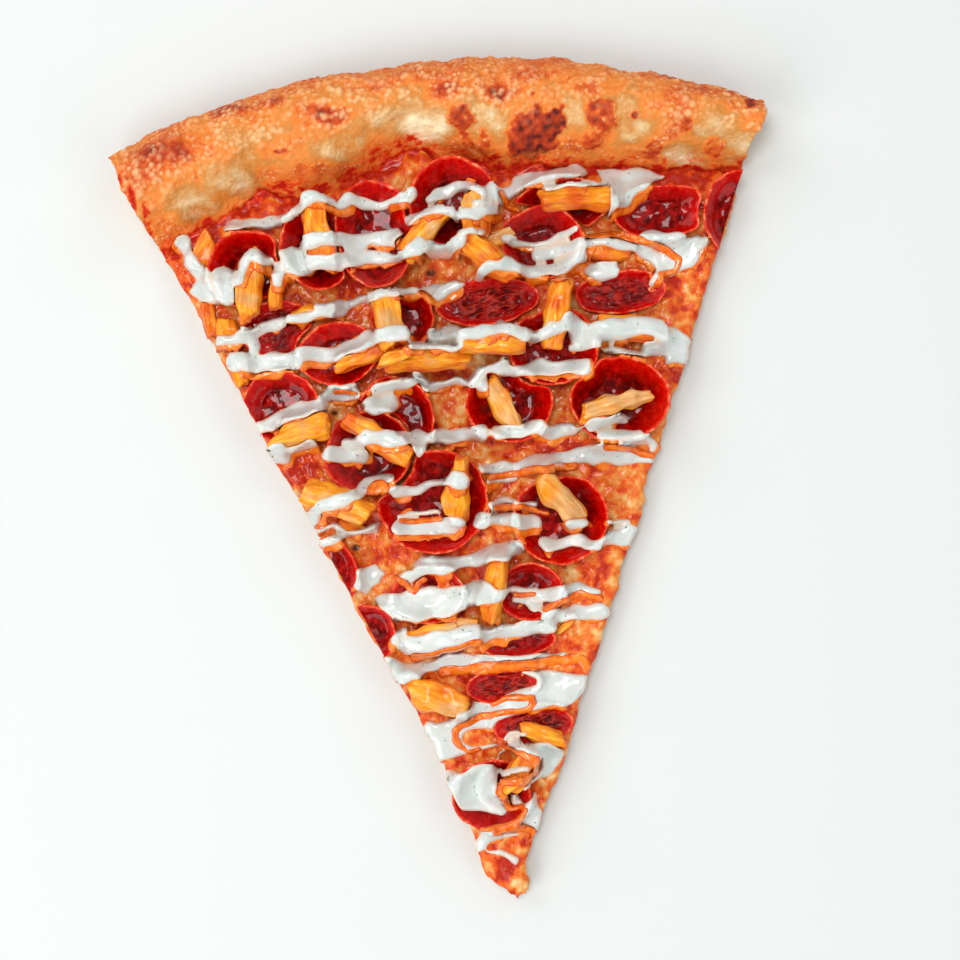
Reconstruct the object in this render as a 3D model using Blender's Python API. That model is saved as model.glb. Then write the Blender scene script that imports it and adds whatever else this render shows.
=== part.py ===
"""A slice of pepperoni and pineapple pizza, one eighth of a 20 inch pie.

The slice lies flat with its crust along +Y and its tip along -Y. From the table up it is
a thin base of baked dough that swells into a rim, a smear of tomato sauce, a sheet of
melted cheese with ribbons of dressing run over it, slices of pepperoni that have curled
into cups, and chunks of pineapple lying in and across them.

Lengths are in millimetres, measured from the middle of the whole pizza. Each finished
piece is scaled to metres and hangs from one empty, which centres the slice on the origin.
"""
import bpy
import bmesh
from math import atan2, cos, degrees, hypot, pi, radians, sin
from mathutils import Euler, Matrix, Vector, noise
from mathutils.bvhtree import BVHTree

for old in list(bpy.data.objects):
    bpy.data.objects.remove(old, do_unlink=True)

MM = 0.001
GAP = 0.32               # free space kept between pieces that touch
PIZZA_RADIUS = 254.8     # a 20 inch pie
HALF_ANGLE = radians(22.8)
TIP_RADIUS = 3.4         # the tip is torn off this far from the middle of the pie
BASE_TOP = 3.4           # thickness of the dough under the toppings
RIM_HEIGHT = 18.5
SAUCE_THICKNESS = 0.9
CHEESE_THICKNESS = 2.0
RAGGED = 0.55            # how far the wheel's cut wanders


# The plan of the slice

def smooth(t):
    t = min(max(t, 0.0), 1.0)
    return t * t * (3.0 - 2.0 * t)


def wander(value, size, seed):
    """Smooth uneven values between about -1 and 1."""
    return 1.6 * noise.noise(Vector((value / size, 3.7 * seed, 0.5)))


def bumps(x, y, size, seed):
    return 1.6 * noise.noise(Vector((x / size, y / size, 5.3 * seed)))


def plan(side, radius):
    """Place of a point given as a part of the half angle, -1 to 1, and a radius.

    Close to the tip the slice is blunt and bends to the left.
    """
    blunt = 3.4 * (1.0 - smooth(radius / 24.0))
    bend = -4.0 * (1.0 - smooth((radius - 12.0) / 32.0)) * smooth(radius / 14.0)
    edge = smooth((abs(side) - 0.8) / 0.2)
    ragged = RAGGED * edge * (wander(radius, 6.0, 2.0 + side) + 0.8 * wander(radius, 17.0, side))
    turn = side * HALF_ANGLE
    x = radius * sin(turn) + side * (blunt + ragged) + bend
    return x, radius * cos(turn)


# Radius at which the flat dough ends and the rim begins, by the angle in degrees.
RIM_START = ((-23, 223), (-18, 225), (-14, 227.5), (-10.4, 221.6), (-6, 225.5), (-2.5, 229.5),
             (1, 226), (4, 221.5), (8, 222.5), (16, 225), (20, 228), (23, 231.5))


def rim_start(side):
    angle = degrees(side * HALF_ANGLE)
    for (a0, r0), (a1, r1) in zip(RIM_START, RIM_START[1:]):
        if angle <= a1:
            return r0 + (r1 - r0) * smooth((angle - a0) / (a1 - a0))
    return RIM_START[-1][1]


def rim_end(side):
    return PIZZA_RADIUS - 2.3 * side + 0.8 * wander(side, 0.16, 9.0)


# Finished pieces

def material(name, color, roughness):
    mat = bpy.data.materials.new(name)
    mat.use_nodes = True
    shader = mat.node_tree.nodes["Principled BSDF"]
    shader.inputs["Base Color"].default_value = (*color, 1.0)
    shader.inputs["Roughness"].default_value = roughness
    shader.inputs["Metallic"].default_value = 0.0
    return mat


BAKED_DOUGH = material("baked_dough", (0.62, 0.36, 0.14), 0.75)
TOMATO = material("tomato_sauce", (0.55, 0.06, 0.02), 0.35)
MELTED_CHEESE = material("melted_cheese", (0.75, 0.42, 0.16), 0.4)
CURED_SAUSAGE = material("cured_sausage", (0.42, 0.015, 0.015), 0.3)
PINEAPPLE_FLESH = material("pineapple_flesh", (0.92, 0.45, 0.06), 0.35)

slice_root = bpy.data.objects.new("pizza_slice", None)
bpy.context.collection.objects.link(slice_root)


def add_object(name, bm, mat, place=(0.0, 0.0, 0.0), turn=(0.0, 0.0, 0.0)):
    """Scale a bmesh from millimetres to metres and hang it from the slice's empty."""
    bmesh.ops.recalc_face_normals(bm, faces=bm.faces)
    bmesh.ops.scale(bm, vec=(MM, MM, MM), verts=bm.verts)
    mesh = bpy.data.meshes.new(name)
    bm.to_mesh(mesh)
    bm.free()
    mesh.materials.append(mat)
    mesh.shade_smooth()
    mesh.set_sharp_from_angle(angle=radians(50))
    obj = bpy.data.objects.new(name, mesh)
    obj.location = Vector(place) * MM
    obj.rotation_euler = turn
    obj.parent = slice_root
    bpy.context.collection.objects.link(obj)
    return obj


# Crust: the base and its rim are one piece of dough

RIM_SECTION = (          # part of the rim's width, part of its height, from the sauce outwards
    (0.0, 0.0), (0.09, 0.20), (0.22, 0.62), (0.38, 0.88), (0.56, 1.0), (0.74, 0.97),
    (0.88, 0.78), (0.97, 0.50), (1.0, 0.26), (0.975, 0.08), (0.90, -0.10), (0.80, -0.226))
BASE_ROWS = 19
CRUST_COLUMNS = 23


def crust_section(side):
    """Closed section from the tip along the top, over the rim and back under the base."""
    start, end = rim_start(side), rim_end(side)
    rows = [TIP_RADIUS + (start - TIP_RADIUS) * (k / BASE_ROWS) ** 1.25 for k in range(BASE_ROWS)]
    height = RIM_HEIGHT * (1.0 + 0.07 * wander(side, 0.35, 4.0)) - BASE_TOP
    top = [(r, BASE_TOP) for r in rows]
    rim = [(start + (end - start) * out, max(BASE_TOP + height * up, 0.0)) for out, up in RIM_SECTION]
    under = [(r, 0.0) for r in reversed(rows)]
    return top + rim + under


def crust_point(side, radius, z):
    x, y = plan(side, radius)
    swell = smooth((z - BASE_TOP) / 8.0)
    return Vector((x, y, z + 0.9 * swell * bumps(x, y, 13.0, 1.0)))


sections = []
for column in range(CRUST_COLUMNS + 1):
    side = 2.0 * column / CRUST_COLUMNS - 1.0
    sections.append([crust_point(side, *point) for point in crust_section(side)])
count = len(sections[0])
bm = bmesh.new()
bmesh.ops.create_grid(bm, x_segments=CRUST_COLUMNS, y_segments=count, size=1.0)
bm.verts.ensure_lookup_table()
for index, vert in enumerate(bm.verts):
    row, column = divmod(index, CRUST_COLUMNS + 1)
    vert.co = sections[column][row % count]
bmesh.ops.remove_doubles(bm, verts=bm.verts, dist=0.001)
caps = bmesh.ops.holes_fill(bm, edges=[e for e in bm.edges if e.is_boundary])["faces"]
stacks = {}
for vert in (v for cap in caps for v in cap.verts):
    stacks.setdefault((round(vert.co.x, 3), round(vert.co.y, 3)), []).append(vert)
for stack in stacks.values():
    if len(stack) == 2:
        bmesh.ops.connect_verts(bm, verts=stack)
add_object("crust", bm, BAKED_DOUGH)


# Sauce and cheese: thin sheets that run through the slice and show at its cuts

SAUCE_BOTTOM = BASE_TOP + GAP
CHEESE_BOTTOM = SAUCE_BOTTOM + SAUCE_THICKNESS + GAP
SHEET_COLUMNS = 14
CHEESE_ROWS = 28
SAUCE_ROWS = 20


def sauce_end(side):
    return rim_start(side) - 1.8


def cheese_end(side):
    return rim_start(side) - 3.6 - 1.2 * wander(side, 0.12, 6.0)


def cheese_top(side, radius, x, y):
    """The cheese is lumpy and thins out towards the rim."""
    lump = 0.38 * bumps(x, y, 12.0, 2.0)
    full = CHEESE_THICKNESS + lump
    thin = 0.45 + 0.55 * smooth((cheese_end(side) - radius) / 7.0)
    return CHEESE_BOTTOM + full * thin


def sheet(rows, end, bottom, top):
    """A thin slab on the plan of the slice, with its flat underside left as one face."""
    bm = bmesh.new()
    bmesh.ops.create_grid(bm, x_segments=SHEET_COLUMNS, y_segments=rows, size=1.0)
    place = {}
    bm.verts.ensure_lookup_table()
    for index, vert in enumerate(bm.verts):
        row, column = divmod(index, SHEET_COLUMNS + 1)
        side = 2.0 * column / SHEET_COLUMNS - 1.0
        start = TIP_RADIUS + 0.8
        radius = start + (end(side) - start) * row / rows
        x, y = plan(side, radius)
        vert.co = (x, y, bottom)
        place[vert] = top(side, radius, x, y)
    flat = bm.faces[:]
    made = bmesh.ops.extrude_face_region(bm, geom=flat)
    heights = {(round(v.co.x, 4), round(v.co.y, 4)): z for v, z in place.items()}
    for item in made["geom"]:
        if isinstance(item, bmesh.types.BMVert):
            item.co.z = heights[(round(item.co.x, 4), round(item.co.y, 4))]
    bmesh.ops.dissolve_faces(bm, faces=flat)
    return bm


sauce = sheet(SAUCE_ROWS, sauce_end, SAUCE_BOTTOM,
              lambda side, radius, x, y: SAUCE_BOTTOM + SAUCE_THICKNESS)
level = [f for f in sauce.faces if all(v.co.z > SAUCE_BOTTOM + 0.5 for v in f.verts)]
bmesh.ops.dissolve_faces(sauce, faces=level)
add_object("tomato_sauce", sauce, TOMATO)

cheese = sheet(CHEESE_ROWS, cheese_end, CHEESE_BOTTOM, cheese_top)


# Toppings come down on what already lies below them

class Laid:
    """A piece at rest: its surface, and points along its edges, in millimetres."""

    def __init__(self, bm):
        bmesh.ops.recalc_face_normals(bm, faces=bm.faces)
        bm.normal_update()
        self.tree = BVHTree.FromBMesh(bm)
        self.points = edge_points(bm, 0.0)
        self.low = Vector([min(p[k] for p in self.points) for k in range(3)])
        self.high = Vector([max(p[k] for p in self.points) for k in range(3)])

    def near(self, low, high):
        return (self.low.x < high.x and self.high.x > low.x
                and self.low.y < high.y and self.high.y > low.y)


def edge_points(bm, swell, spacing=1.1):
    """Points along every edge, pushed out of the surface by the given swell."""
    points = []
    for edge in bm.edges:
        a, b = edge.verts
        steps = max(1, int(edge.calc_length() / spacing))
        start, stop = a.co + a.normal * swell, b.co + b.normal * swell
        points += [start.lerp(stop, k / steps) for k in range(steps)]
    points += [v.co + v.normal * swell for v in bm.verts]
    points += [f.calc_center_median() + f.normal * swell for f in bm.faces if len(f.verts) < 9]
    return points


laid = [Laid(cheese)]
toppings = []
START_HEIGHT = 60.0
UP, DOWN = Vector((0, 0, 1)), Vector((0, 0, -1))


def fall(bm, spacing):
    """How far a piece held above the slice can come down before it meets anything."""
    bm.normal_update()
    points = edge_points(bm, GAP, spacing)
    low = Vector([min(p[k] for p in points) for k in range(3)])
    high = Vector([max(p[k] for p in points) for k in range(3)])
    swollen = bm.copy()
    for vert, source in zip(swollen.verts, bm.verts):
        vert.co = source.co + source.normal * GAP
    tree = BVHTree.FromBMesh(swollen)
    swollen.free()
    best = START_HEIGHT
    for other in laid:
        if not other.near(low, high):
            continue
        for point in points:
            hit = other.tree.ray_cast(point, DOWN)
            if hit[0]:
                best = min(best, hit[3])
        for point in other.points:
            if low.x < point.x < high.x and low.y < point.y < high.y:
                hit = tree.ray_cast(point, UP)
                if hit[0]:
                    best = min(best, hit[3])
    return best


def lay(name, bm, mat, x, y, turns):
    """Try each lean, keep the one in which the piece lies lowest, and set it down."""
    bmesh.ops.recalc_face_normals(bm, faces=bm.faces)
    options = []
    for turn in turns:
        trial = bm.copy()
        matrix = Matrix.Translation((x, y, START_HEIGHT)) @ Euler(turn).to_matrix().to_4x4()
        bmesh.ops.transform(trial, matrix=matrix, verts=trial.verts)
        middle = sum((v.co.z for v in trial.verts)) / len(trial.verts)
        options.append((middle - fall(trial, 3.0), turn))
        trial.free()
    turn = min(options)[1]
    matrix = Matrix.Translation((x, y, START_HEIGHT)) @ Euler(turn).to_matrix().to_4x4()
    final = bm.copy()
    bmesh.ops.transform(final, matrix=matrix, verts=final.verts)
    drop = fall(final, 0.8)
    bmesh.ops.translate(final, vec=(0, 0, -drop), verts=final.verts)
    laid.append(Laid(final))
    final.free()
    return add_object(name, bm, mat, (x, y, START_HEIGHT - drop), turn)


# Pepperoni: thin round slices whose edges have curled up in the oven

SLICE_THICKNESS = 1.5
RIM_THICKNESS = 0.95
CUP_SEGMENTS = 15
CUP_GAP = 0.7            # between the outlines of cups that press on each other
FULL_WALL = 4.5          # radius below which a squeezed cup's wall gets thinner

# Middle x and y, half widths along x and y, height and lean in degrees towards +X and +Y.
# Where two overlap, the one further down the list lies on top and the other gives way.
PEPPERONI = (
    (-61, 198, 12, 12, 6.5, 0, 0), (-39.8, 202.7, 11.3, 13.3, 6.9, 0, 0),
    (-21.9, 204.4, 12.4, 16.5, 6.9, 0, -4), (34, 208, 14.5, 8.5, 5.2, 0, 6),
    (1.2, 212, 13.1, 13.1, 7.3, 0, 0), (27, 197, 12.4, 11.2, 6.9, 0, 0), (64, 202.3, 15, 8, 4.7, 0, 0),
    (88.5, 199, 13, 14, 5.6, 0, 0), (-54.5, 179.5, 11, 9, 3, 0, 0), (-17, 178.5, 10, 9, 5.2, 0, 0),
    (9, 181.3, 16, 7.2, 2.2, 0, 0), (49, 180, 13.8, 6.8, 2.8, 0, 0), (-37, 170.3, 12.4, 9.8, 5.6, 0, 0),
    (-56, 156, 12, 11, 4.7, 0, 0), (-22, 148, 11.8, 14, 6.5, 0, 0),
    (12.3, 150.5, 13.3, 12.4, 6.9, 0, 0), (45, 147.8, 15.4, 12.8, 6.9, 0, 0),
    (27, 166, 14.2, 11.4, 6, 0, 5), (-13.3, 123.8, 16.7, 15.8, 7.3, 0, 4),
    (-31, 139.9, 13.2, 12.7, 7.3, 0, 0), (24, 114, 14.3, 13.5, 7.3, 0, 0),
    (-46.5, 105, 8.5, 11, 3.9, 0, 0), (-36.5, 86, 8, 9, 4.3, 0, 0), (-18, 95.5, 11.5, 8.4, 3.9, 0, 0),
    (12.5, 93.5, 10.2, 8.8, 4.7, 0, 0), (7.5, 79, 12, 5, 3.4, 0, 0), (1.5, 66.2, 11.2, 5.6, 1.9, 0, 0),
    (9.5, 53.5, 12.2, 6, 1.9, 0, 0), (-5, 34, 12.2, 11, 5.6, 0, 0))


def pole(cup, others):
    """A middle to draw a cup's outline from, moved out from under its neighbours."""
    x, y = cup[:2]
    for ox, oy, ohx, ohy in (other[:4] for other in others):
        px, py = (x - ox) / ohx, (y - oy) / ohy
        out = hypot(px, py)
        if out < 1.25:
            x, y = ox + px / out * 1.25 * ohx, oy + py / out * 1.25 * ohy
    return x, y


def crossings(x, y, dx, dy, oval, grow):
    """Distances at which a line from a point enters and leaves an oval, if it meets it."""
    ox, oy, ohx, ohy = oval[:4]
    ohx, ohy = ohx + grow, ohy + grow
    px, py = (x - ox) / ohx, (y - oy) / ohy
    qx, qy = dx / ohx, dy / ohy
    a, b, c = qx * qx + qy * qy, px * qx + py * qy, px * px + py * py - 1.0
    inside = b * b - a * c
    return None if inside < 0.0 else ((-b - inside ** 0.5) / a, (-b + inside ** 0.5) / a)


def room(cup, others, x, y, angle):
    """Distance from the pole to the cup's edge, and how much of it its neighbours leave."""
    dx, dy = cos(angle), sin(angle)
    own = crossings(x, y, dx, dy, cup, 0.0)[1]
    free = own
    for other in others:
        hit = crossings(x, y, dx, dy, other, CUP_GAP)
        if hit and hit[0] > 0.0:
            free = min(free, hit[0])
    return free, free / own


CUP_SECTION = (          # part of the radius, part of the height; the inner side is worked out
    (0.60, 0.0), (0.88, 0.26), (1.0, 1.0))


def make_cup(index):
    cup = PEPPERONI[index]
    height = cup[4]
    over = [other for other in PEPPERONI[index + 1:]
            if hypot(other[0] - cup[0], other[1] - cup[1]) < 40]
    x, y = pole(cup, over)
    bm = bmesh.new()
    bmesh.ops.create_circle(bm, cap_ends=True, segments=CUP_SEGMENTS, radius=1.0)
    outline = []
    for vert in list(bm.verts):
        angle = atan2(vert.co.y, vert.co.x)
        free, share = room(cup, over, x, y, angle)
        free *= 1.0 + 0.035 * wander(angle / pi, 0.5, 20.0 + index)
        tall = height * (0.45 + 0.55 * smooth((share - 0.55) / 0.4))
        tall *= 1.0 + 0.13 * wander(sin(angle), 1.1, 40.0 + index)
        outline.append((vert.co.normalized(), free, tall))

    def ring(part, level, shrink, lift):
        """One ring of the cup: a place for each direction of its outline."""
        places = []
        for direction, free, tall in outline:
            reach = free * part - shrink * min(1.0, free / FULL_WALL)
            places.append(Vector((direction.x * reach, direction.y * reach, tall * level + lift)))
        return places

    rings = [ring(part, level, 0.0, 0.0) for part, level in CUP_SECTION]
    rings += [ring(1.0, 1.0, RIM_THICKNESS, 0.0),
              ring(0.88, 0.30, SLICE_THICKNESS * 0.9, SLICE_THICKNESS * 0.4),
              ring(0.56, 0.0, 0.0, SLICE_THICKNESS)]
    current = {vert: k for k, vert in enumerate(bm.verts)}
    for vert, k in current.items():
        vert.co = rings[0][k]
    underside = bmesh.ops.poke(bm, faces=bm.faces[:])["verts"][0]
    underside.co = (0, 0, 0)
    loop = [e for e in bm.edges if e.is_boundary]
    for shape in rings[1:]:
        made = bmesh.ops.extrude_edge_only(bm, edges=loop)["geom"]
        loop = [g for g in made if isinstance(g, bmesh.types.BMEdge)]
        fresh = {}
        for vert in (g for g in made if isinstance(g, bmesh.types.BMVert)):
            below = next(e.other_vert(vert) for e in vert.link_edges if e.other_vert(vert) in current)
            fresh[vert] = current[below]
        for vert, k in fresh.items():
            vert.co = shape[k]
        current = fresh
    cap = bmesh.ops.contextual_create(bm, geom=loop)["faces"]
    top = bmesh.ops.poke(bm, faces=cap)["verts"][0]
    top.co = (0, 0, SLICE_THICKNESS * 1.1)
    return bm, x, y


def trim_to_cuts(bm, x, y):
    """Cut off what the pizza wheel took from a topping that crossed the slice's edge."""
    for side in (-1.0, 1.0):
        normal = Vector((side * cos(HALF_ANGLE), -sin(HALF_ANGLE), 0.0))
        plane = Vector((-x, -y, 0.0)) + normal * -0.2
        cut = bmesh.ops.bisect_plane(bm, geom=bm.verts[:] + bm.edges[:] + bm.faces[:], dist=0.0005,
                                     plane_co=plane, plane_no=normal, clear_outer=True)["geom_cut"]
        if cut:
            bmesh.ops.holes_fill(bm, edges=[e for e in bm.edges if e.is_boundary])


for index, (*_, lean_x, lean_y) in enumerate(PEPPERONI):
    cup, x, y = make_cup(index)
    if y > 60:
        trim_to_cuts(cup, x, y)
    lean = (radians(lean_y), radians(-lean_x), 0.0)
    toppings.append(lay(f"pepperoni_{index + 1:02d}", cup, CURED_SAUSAGE, x, y, [lean]))


# Pineapple: canned chunks, wedges of the ring with the grain running along them

# Middle x and y, length, width at the two ends, height and turn in degrees from +X.
PINEAPPLE = (
    (-44, 182.6, 13, 5, 5, 3.4, 0), (12, 50.5, 14, 6.5, 6.5, 4.3, -20), (-69, 180, 9.5, 6.5, 7, 4.3, 95),
    (-67.3, 168.5, 9, 5.5, 6.5, 4.3, 100), (-61, 192.5, 20, 8, 9.5, 5.2, 88),
    (-38.6, 206, 22, 9.5, 7.5, 5.2, 92), (8, 206.5, 15, 9, 8, 5.2, 96),
    (-7.5, 203, 19, 8, 6.5, 5.2, 43), (9.5, 193.5, 21, 9, 8, 5.2, -40),
    (38.5, 208.6, 21, 7.5, 8, 5.2, -5), (47, 192.5, 14, 7, 6, 4.3, -10),
    (-29, 168.6, 19, 4.5, 6, 4.3, 15), (-20.2, 178, 16.5, 9.5, 9.5, 6, 91),
    (-9.5, 165.2, 25, 7, 6, 5.2, -6), (9.5, 168.6, 19.5, 8.5, 9, 5.2, -5),
    (29.3, 174.5, 20.5, 8, 8, 6, 74), (50.5, 169, 20, 7, 8, 4.3, -12), (-50, 148.2, 17, 8, 9.5, 5.2, 8),
    (-27.5, 143.6, 24, 7, 8, 5.2, -38), (-5.6, 126.6, 20, 9.5, 5.5, 5.6, 72),
    (10, 150, 16, 6.5, 6.5, 5.2, -68), (44, 146.6, 22, 7.5, 4, 5.2, 9), (24, 120, 19, 8.5, 8, 6, -48),
    (-42, 126, 21, 10, 8.5, 5.2, -30), (2, 95, 20, 7.5, 7, 5.2, 74), (-14.8, 83, 22, 9.5, 9, 5.2, 5),
    (-18.5, 64.6, 19.5, 11, 9, 5.2, -25), (4, 41, 14, 6, 8, 4.7, 55))
CHUNK_CUTS = 3


def make_chunk(index):
    x, y, length, near, far, height, turn = PINEAPPLE[index]
    bm = bmesh.new()
    bmesh.ops.create_cube(bm, size=1.0)
    along = [e for e in bm.edges if abs((e.verts[0].co - e.verts[1].co).x) > 0.5]
    bmesh.ops.subdivide_edges(bm, edges=along, cuts=CHUNK_CUTS, use_grid_fill=True)
    across = [e for e in bm.edges if abs((e.verts[0].co - e.verts[1].co).y) > 0.5]
    bmesh.ops.subdivide_edges(bm, edges=across, cuts=1, use_grid_fill=True)
    for vert in bm.verts:
        u, v, w = vert.co
        width = near + (far - near) * (u + 0.5)
        end = abs(u) * 2.0
        narrow = 1.0 - 0.14 * end ** 3 - (0.2 if w > 0 else 0.0)
        crown = 0.10 * height * (1.0 - abs(v) * 2.0) if w > 0 else 0.0
        uneven = 0.05 * noise.noise(Vector((u * 3.0, v * 3.0 + w, index * 2.9)))
        vert.co = (length * (u + 0.4 * uneven),
                   width * (v * narrow + uneven) + 0.05 * length * (0.25 - u * u),
                   height * (w * (1.0 - 0.12 * end ** 3) + uneven) + crown)
    rotate = Matrix.Rotation(radians(turn), 3, "Z")
    bmesh.ops.rotate(bm, matrix=rotate, verts=bm.verts)
    return bm


LEANS = [(radians(a), radians(b), 0.0) for a in range(-18, 19, 6) for b in range(-18, 19, 6)]

for index, (x, y, *size) in enumerate(PINEAPPLE):
    chunk = make_chunk(index)
    toppings.append(lay(f"pineapple_{index + 1:02d}", chunk, PINEAPPLE_FLESH, x, y, LEANS))


# Dressing: thick ribbons squeezed from side to side, each fused to what it fell on

RIBBON_STEP = 2.4
RIBBON_HEIGHT = 1.0
RIBBON_SUNK = 0.5
RIBBON_CLEAR = 0.7       # kept between a ribbon and any other piece
FLAT_ENOUGH = 0.8        # upward part of the surface's normal where dressing stays put
RIBBON_SECTION = (       # part of the half width, height over the surface
    (1.0, -RIBBON_SUNK), (0.55, RIBBON_HEIGHT), (-0.55, RIBBON_HEIGHT), (-1.0, -RIBBON_SUNK))

# Each sweep of the bottle: its half width, then the points it passes through.
SWEEPS = (
    (1.6, (-64, 212.5), (-47, 213), (-28, 215.5), (-12, 214.5), (2, 216.5), (22, 216), (45, 217.5)),
    (4.5, (52, 213), (62, 213.5)), (1.7, (-80, 206), (-76, 198), (-74, 189)), (1.6, (-6, 197.5), (4, 198)),
    (2.0, (-69, 196), (-55, 200), (-38, 203), (-16, 203)),
    (1.8, (-34, 197.5), (-10, 197.5), (4, 198), (28, 198)),
    (2.0, (8, 190), (22, 189), (38, 192), (55, 193), (61, 188)), (2.2, (63, 193), (71, 190)),
    (1.8, (-10, 187), (3, 187.5)), (1.7, (-65, 178.5), (-48, 182), (-30, 185.5), (-8, 186.5)),
    (2.0, (-70, 171), (-49, 170.5), (-38, 170.5), (-26, 173.5), (0, 171.5), (20, 170), (36, 168),
     (58, 168.5), (66, 161)),
    (1.7, (-43, 158.5), (-16, 158.5), (5, 159), (24, 160), (36, 159)),
    (2.2, (42, 162.5), (60, 162.5), (66, 159)),
    (1.8, (-61, 152), (-46, 156)), (1.6, (-58, 142.5), (-46, 144.5), (-37, 141), (-20, 142.5)),
    (1.7, (-10, 142.5), (-1, 142.5), (28, 140.5), (50, 135.5), (54, 132)),
    (1.5, (-33, 131), (-6, 129), (4, 131.5), (13, 131), (35, 132.5), (53, 129.5)),
    (1.5, (-52, 120), (-37, 127.5)),
    (1.6, (-39, 116), (-30, 117), (-10, 116.5), (2, 116), (17, 114)),
    (2.0, (-38, 104), (-30, 104), (-4, 105), (10, 107), (30, 107), (44, 107)),
    (2.6, (-34, 95), (-26, 94), (3, 94)),
    (1.7, (5, 94), (17, 93), (27, 92), (33, 90)), (2.0, (-26, 82), (-4, 83.5), (17, 84), (25, 86), (33, 85)),
    (1.7, (-32, 76), (-14, 74.5), (22, 73.5)), (3.2, (16, 65), (23, 65)), (1.5, (-12, 60.5), (8, 60.5)),
    (2.2, (-19, 54), (-12, 54)), (1.5, (2, 47), (15, 46), (14, 42)), (3.4, (-10, 36), (-4, 36)),
    (1.6, (9, 31), (8.5, 22)), (1.5, (-9, 22.5), (1, 21.5)), (1.0, (-8, 16.5), (0, 14)))


def sweep_points(points):
    """Points a step apart along a sweep, with its corners eased."""
    path = []
    for (x0, y0), (x1, y1) in zip(points, points[1:]):
        steps = max(1, round(hypot(x1 - x0, y1 - y0) / RIBBON_STEP))
        path += [Vector((x0 + (x1 - x0) * k / steps, y0 + (y1 - y0) * k / steps, 0)) for k in range(steps)]
    path.append(Vector((*points[-1], 0)))
    return path


def landing(x, y):
    """The piece that a drop of dressing falls on: its number, height and slope there."""
    best = (None, 0.0, 0.0)
    for index, piece in enumerate(laid):
        if piece.low.x < x < piece.high.x and piece.low.y < y < piece.high.y:
            place, normal = piece.tree.ray_cast(Vector((x, y, START_HEIGHT)), DOWN)[:2]
            if place and place.z > best[1]:
                best = (index, place.z, normal.z)
    return best


def resting_piece(point, half_width):
    """The number of the piece that can carry a ribbon here with room on every side."""
    index, ground, slope = landing(point.x, point.y)
    if index is None or slope < FLAT_ENOUGH:
        return None
    inner = 0.75 * half_width
    for turn in range(8):
        dx, dy = cos(turn * pi / 4), sin(turn * pi / 4)
        if landing(point.x + inner * dx, point.y + inner * dy)[0] != index:
            return None
        reach = half_width + RIBBON_CLEAR
        other, level = landing(point.x + reach * dx, point.y + reach * dy)[:2]
        if other != index and level > ground - GAP:
            return None
    return index


def ribbon(path, half_width, tree):
    """A closed strip of dressing sunk a little into the piece below it."""
    sections = []
    for k, point in enumerate(path):
        ahead = (path[min(k + 1, len(path) - 1)] - path[max(k - 1, 0)]).normalized()
        across = Vector((-ahead.y, ahead.x, 0))
        end = k in (0, len(path) - 1)
        wide = half_width * (0.5 if end else 1.0 + 0.15 * wander(k, 2.3, half_width + path[0].x))
        level = tree.ray_cast(Vector((point.x, point.y, START_HEIGHT)), DOWN)[0].z
        section = []
        for part, rise in RIBBON_SECTION:
            place = point + across * wide * part
            hit = tree.ray_cast(Vector((place.x, place.y, START_HEIGHT)), DOWN)[0]
            place.z = hit.z if hit else level
            level = place.z
            section.append(place + UP * (rise * 0.6 if end and rise > 0 else rise))
        sections.append(section)
    bm = bmesh.new()
    bmesh.ops.create_grid(bm, x_segments=4, y_segments=len(sections) - 1, size=1.0)
    bm.verts.ensure_lookup_table()
    for index, vert in enumerate(bm.verts):
        row, column = divmod(index, 5)
        vert.co = sections[row][column % 4]
    bmesh.ops.remove_doubles(bm, verts=bm.verts, dist=0.001)
    bmesh.ops.holes_fill(bm, edges=[e for e in bm.edges if e.is_boundary])
    return bm


def is_sound(mesh):
    """Whether a mesh is one closed surface that nowhere passes through itself."""
    bm = bmesh.new()
    bm.from_mesh(mesh)
    bmesh.ops.triangulate(bm, faces=bm.faces)
    bmesh.ops.scale(bm, vec=(1 / MM, 1 / MM, 1 / MM), verts=bm.verts)
    bm.faces.ensure_lookup_table()
    tree = BVHTree.FromBMesh(bm)
    crossing = any(not set(bm.faces[one].verts) & set(bm.faces[other].verts)
                   for one, other in tree.overlap(tree) if one < other)
    sound = len(bm.faces) > 0 and all(e.is_manifold for e in bm.edges) and not crossing
    bm.free()
    return sound


def fuse(piece, strips):
    """Join a piece and the ribbons on it into one body by a Boolean union."""
    group = bpy.data.collections.new("ribbons")
    bpy.context.scene.collection.children.link(group)
    for number, bm in enumerate(strips):
        strip = add_object(f"ribbon_{number}", bm, piece.data.materials[0])
        bpy.context.collection.objects.unlink(strip)
        group.objects.link(strip)
    union = piece.modifiers.new("dressing", "BOOLEAN")
    union.operation = "UNION"
    union.operand_type = "COLLECTION"
    union.collection = group
    for solver in ("EXACT", "MANIFOLD"):
        union.solver = solver
        bpy.context.view_layer.update()
        whole = piece.evaluated_get(bpy.context.evaluated_depsgraph_get())
        fused = bpy.data.meshes.new_from_object(whole)
        if is_sound(fused):
            piece.data = fused
            break
    piece.modifiers.clear()
    for strip in list(group.objects):
        bpy.data.objects.remove(strip, do_unlink=True)
    bpy.data.collections.remove(group)


cheese_object = add_object("cheese", cheese, MELTED_CHEESE)
carriers = [cheese_object] + toppings
strips = {}
for half_width, *points in SWEEPS:
    run, under = [], None
    for point in sweep_points(points) + [None]:
        here = resting_piece(point, half_width) if point else None
        if run and here != under:
            if len(run) >= 2:
                strips.setdefault(under, []).append(ribbon(run, half_width, laid[under].tree))
            run = []
        if here is not None:
            run.append(point)
        under = here
for index, group in strips.items():
    fuse(carriers[index], group)


# Centre the slice over the origin

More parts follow.
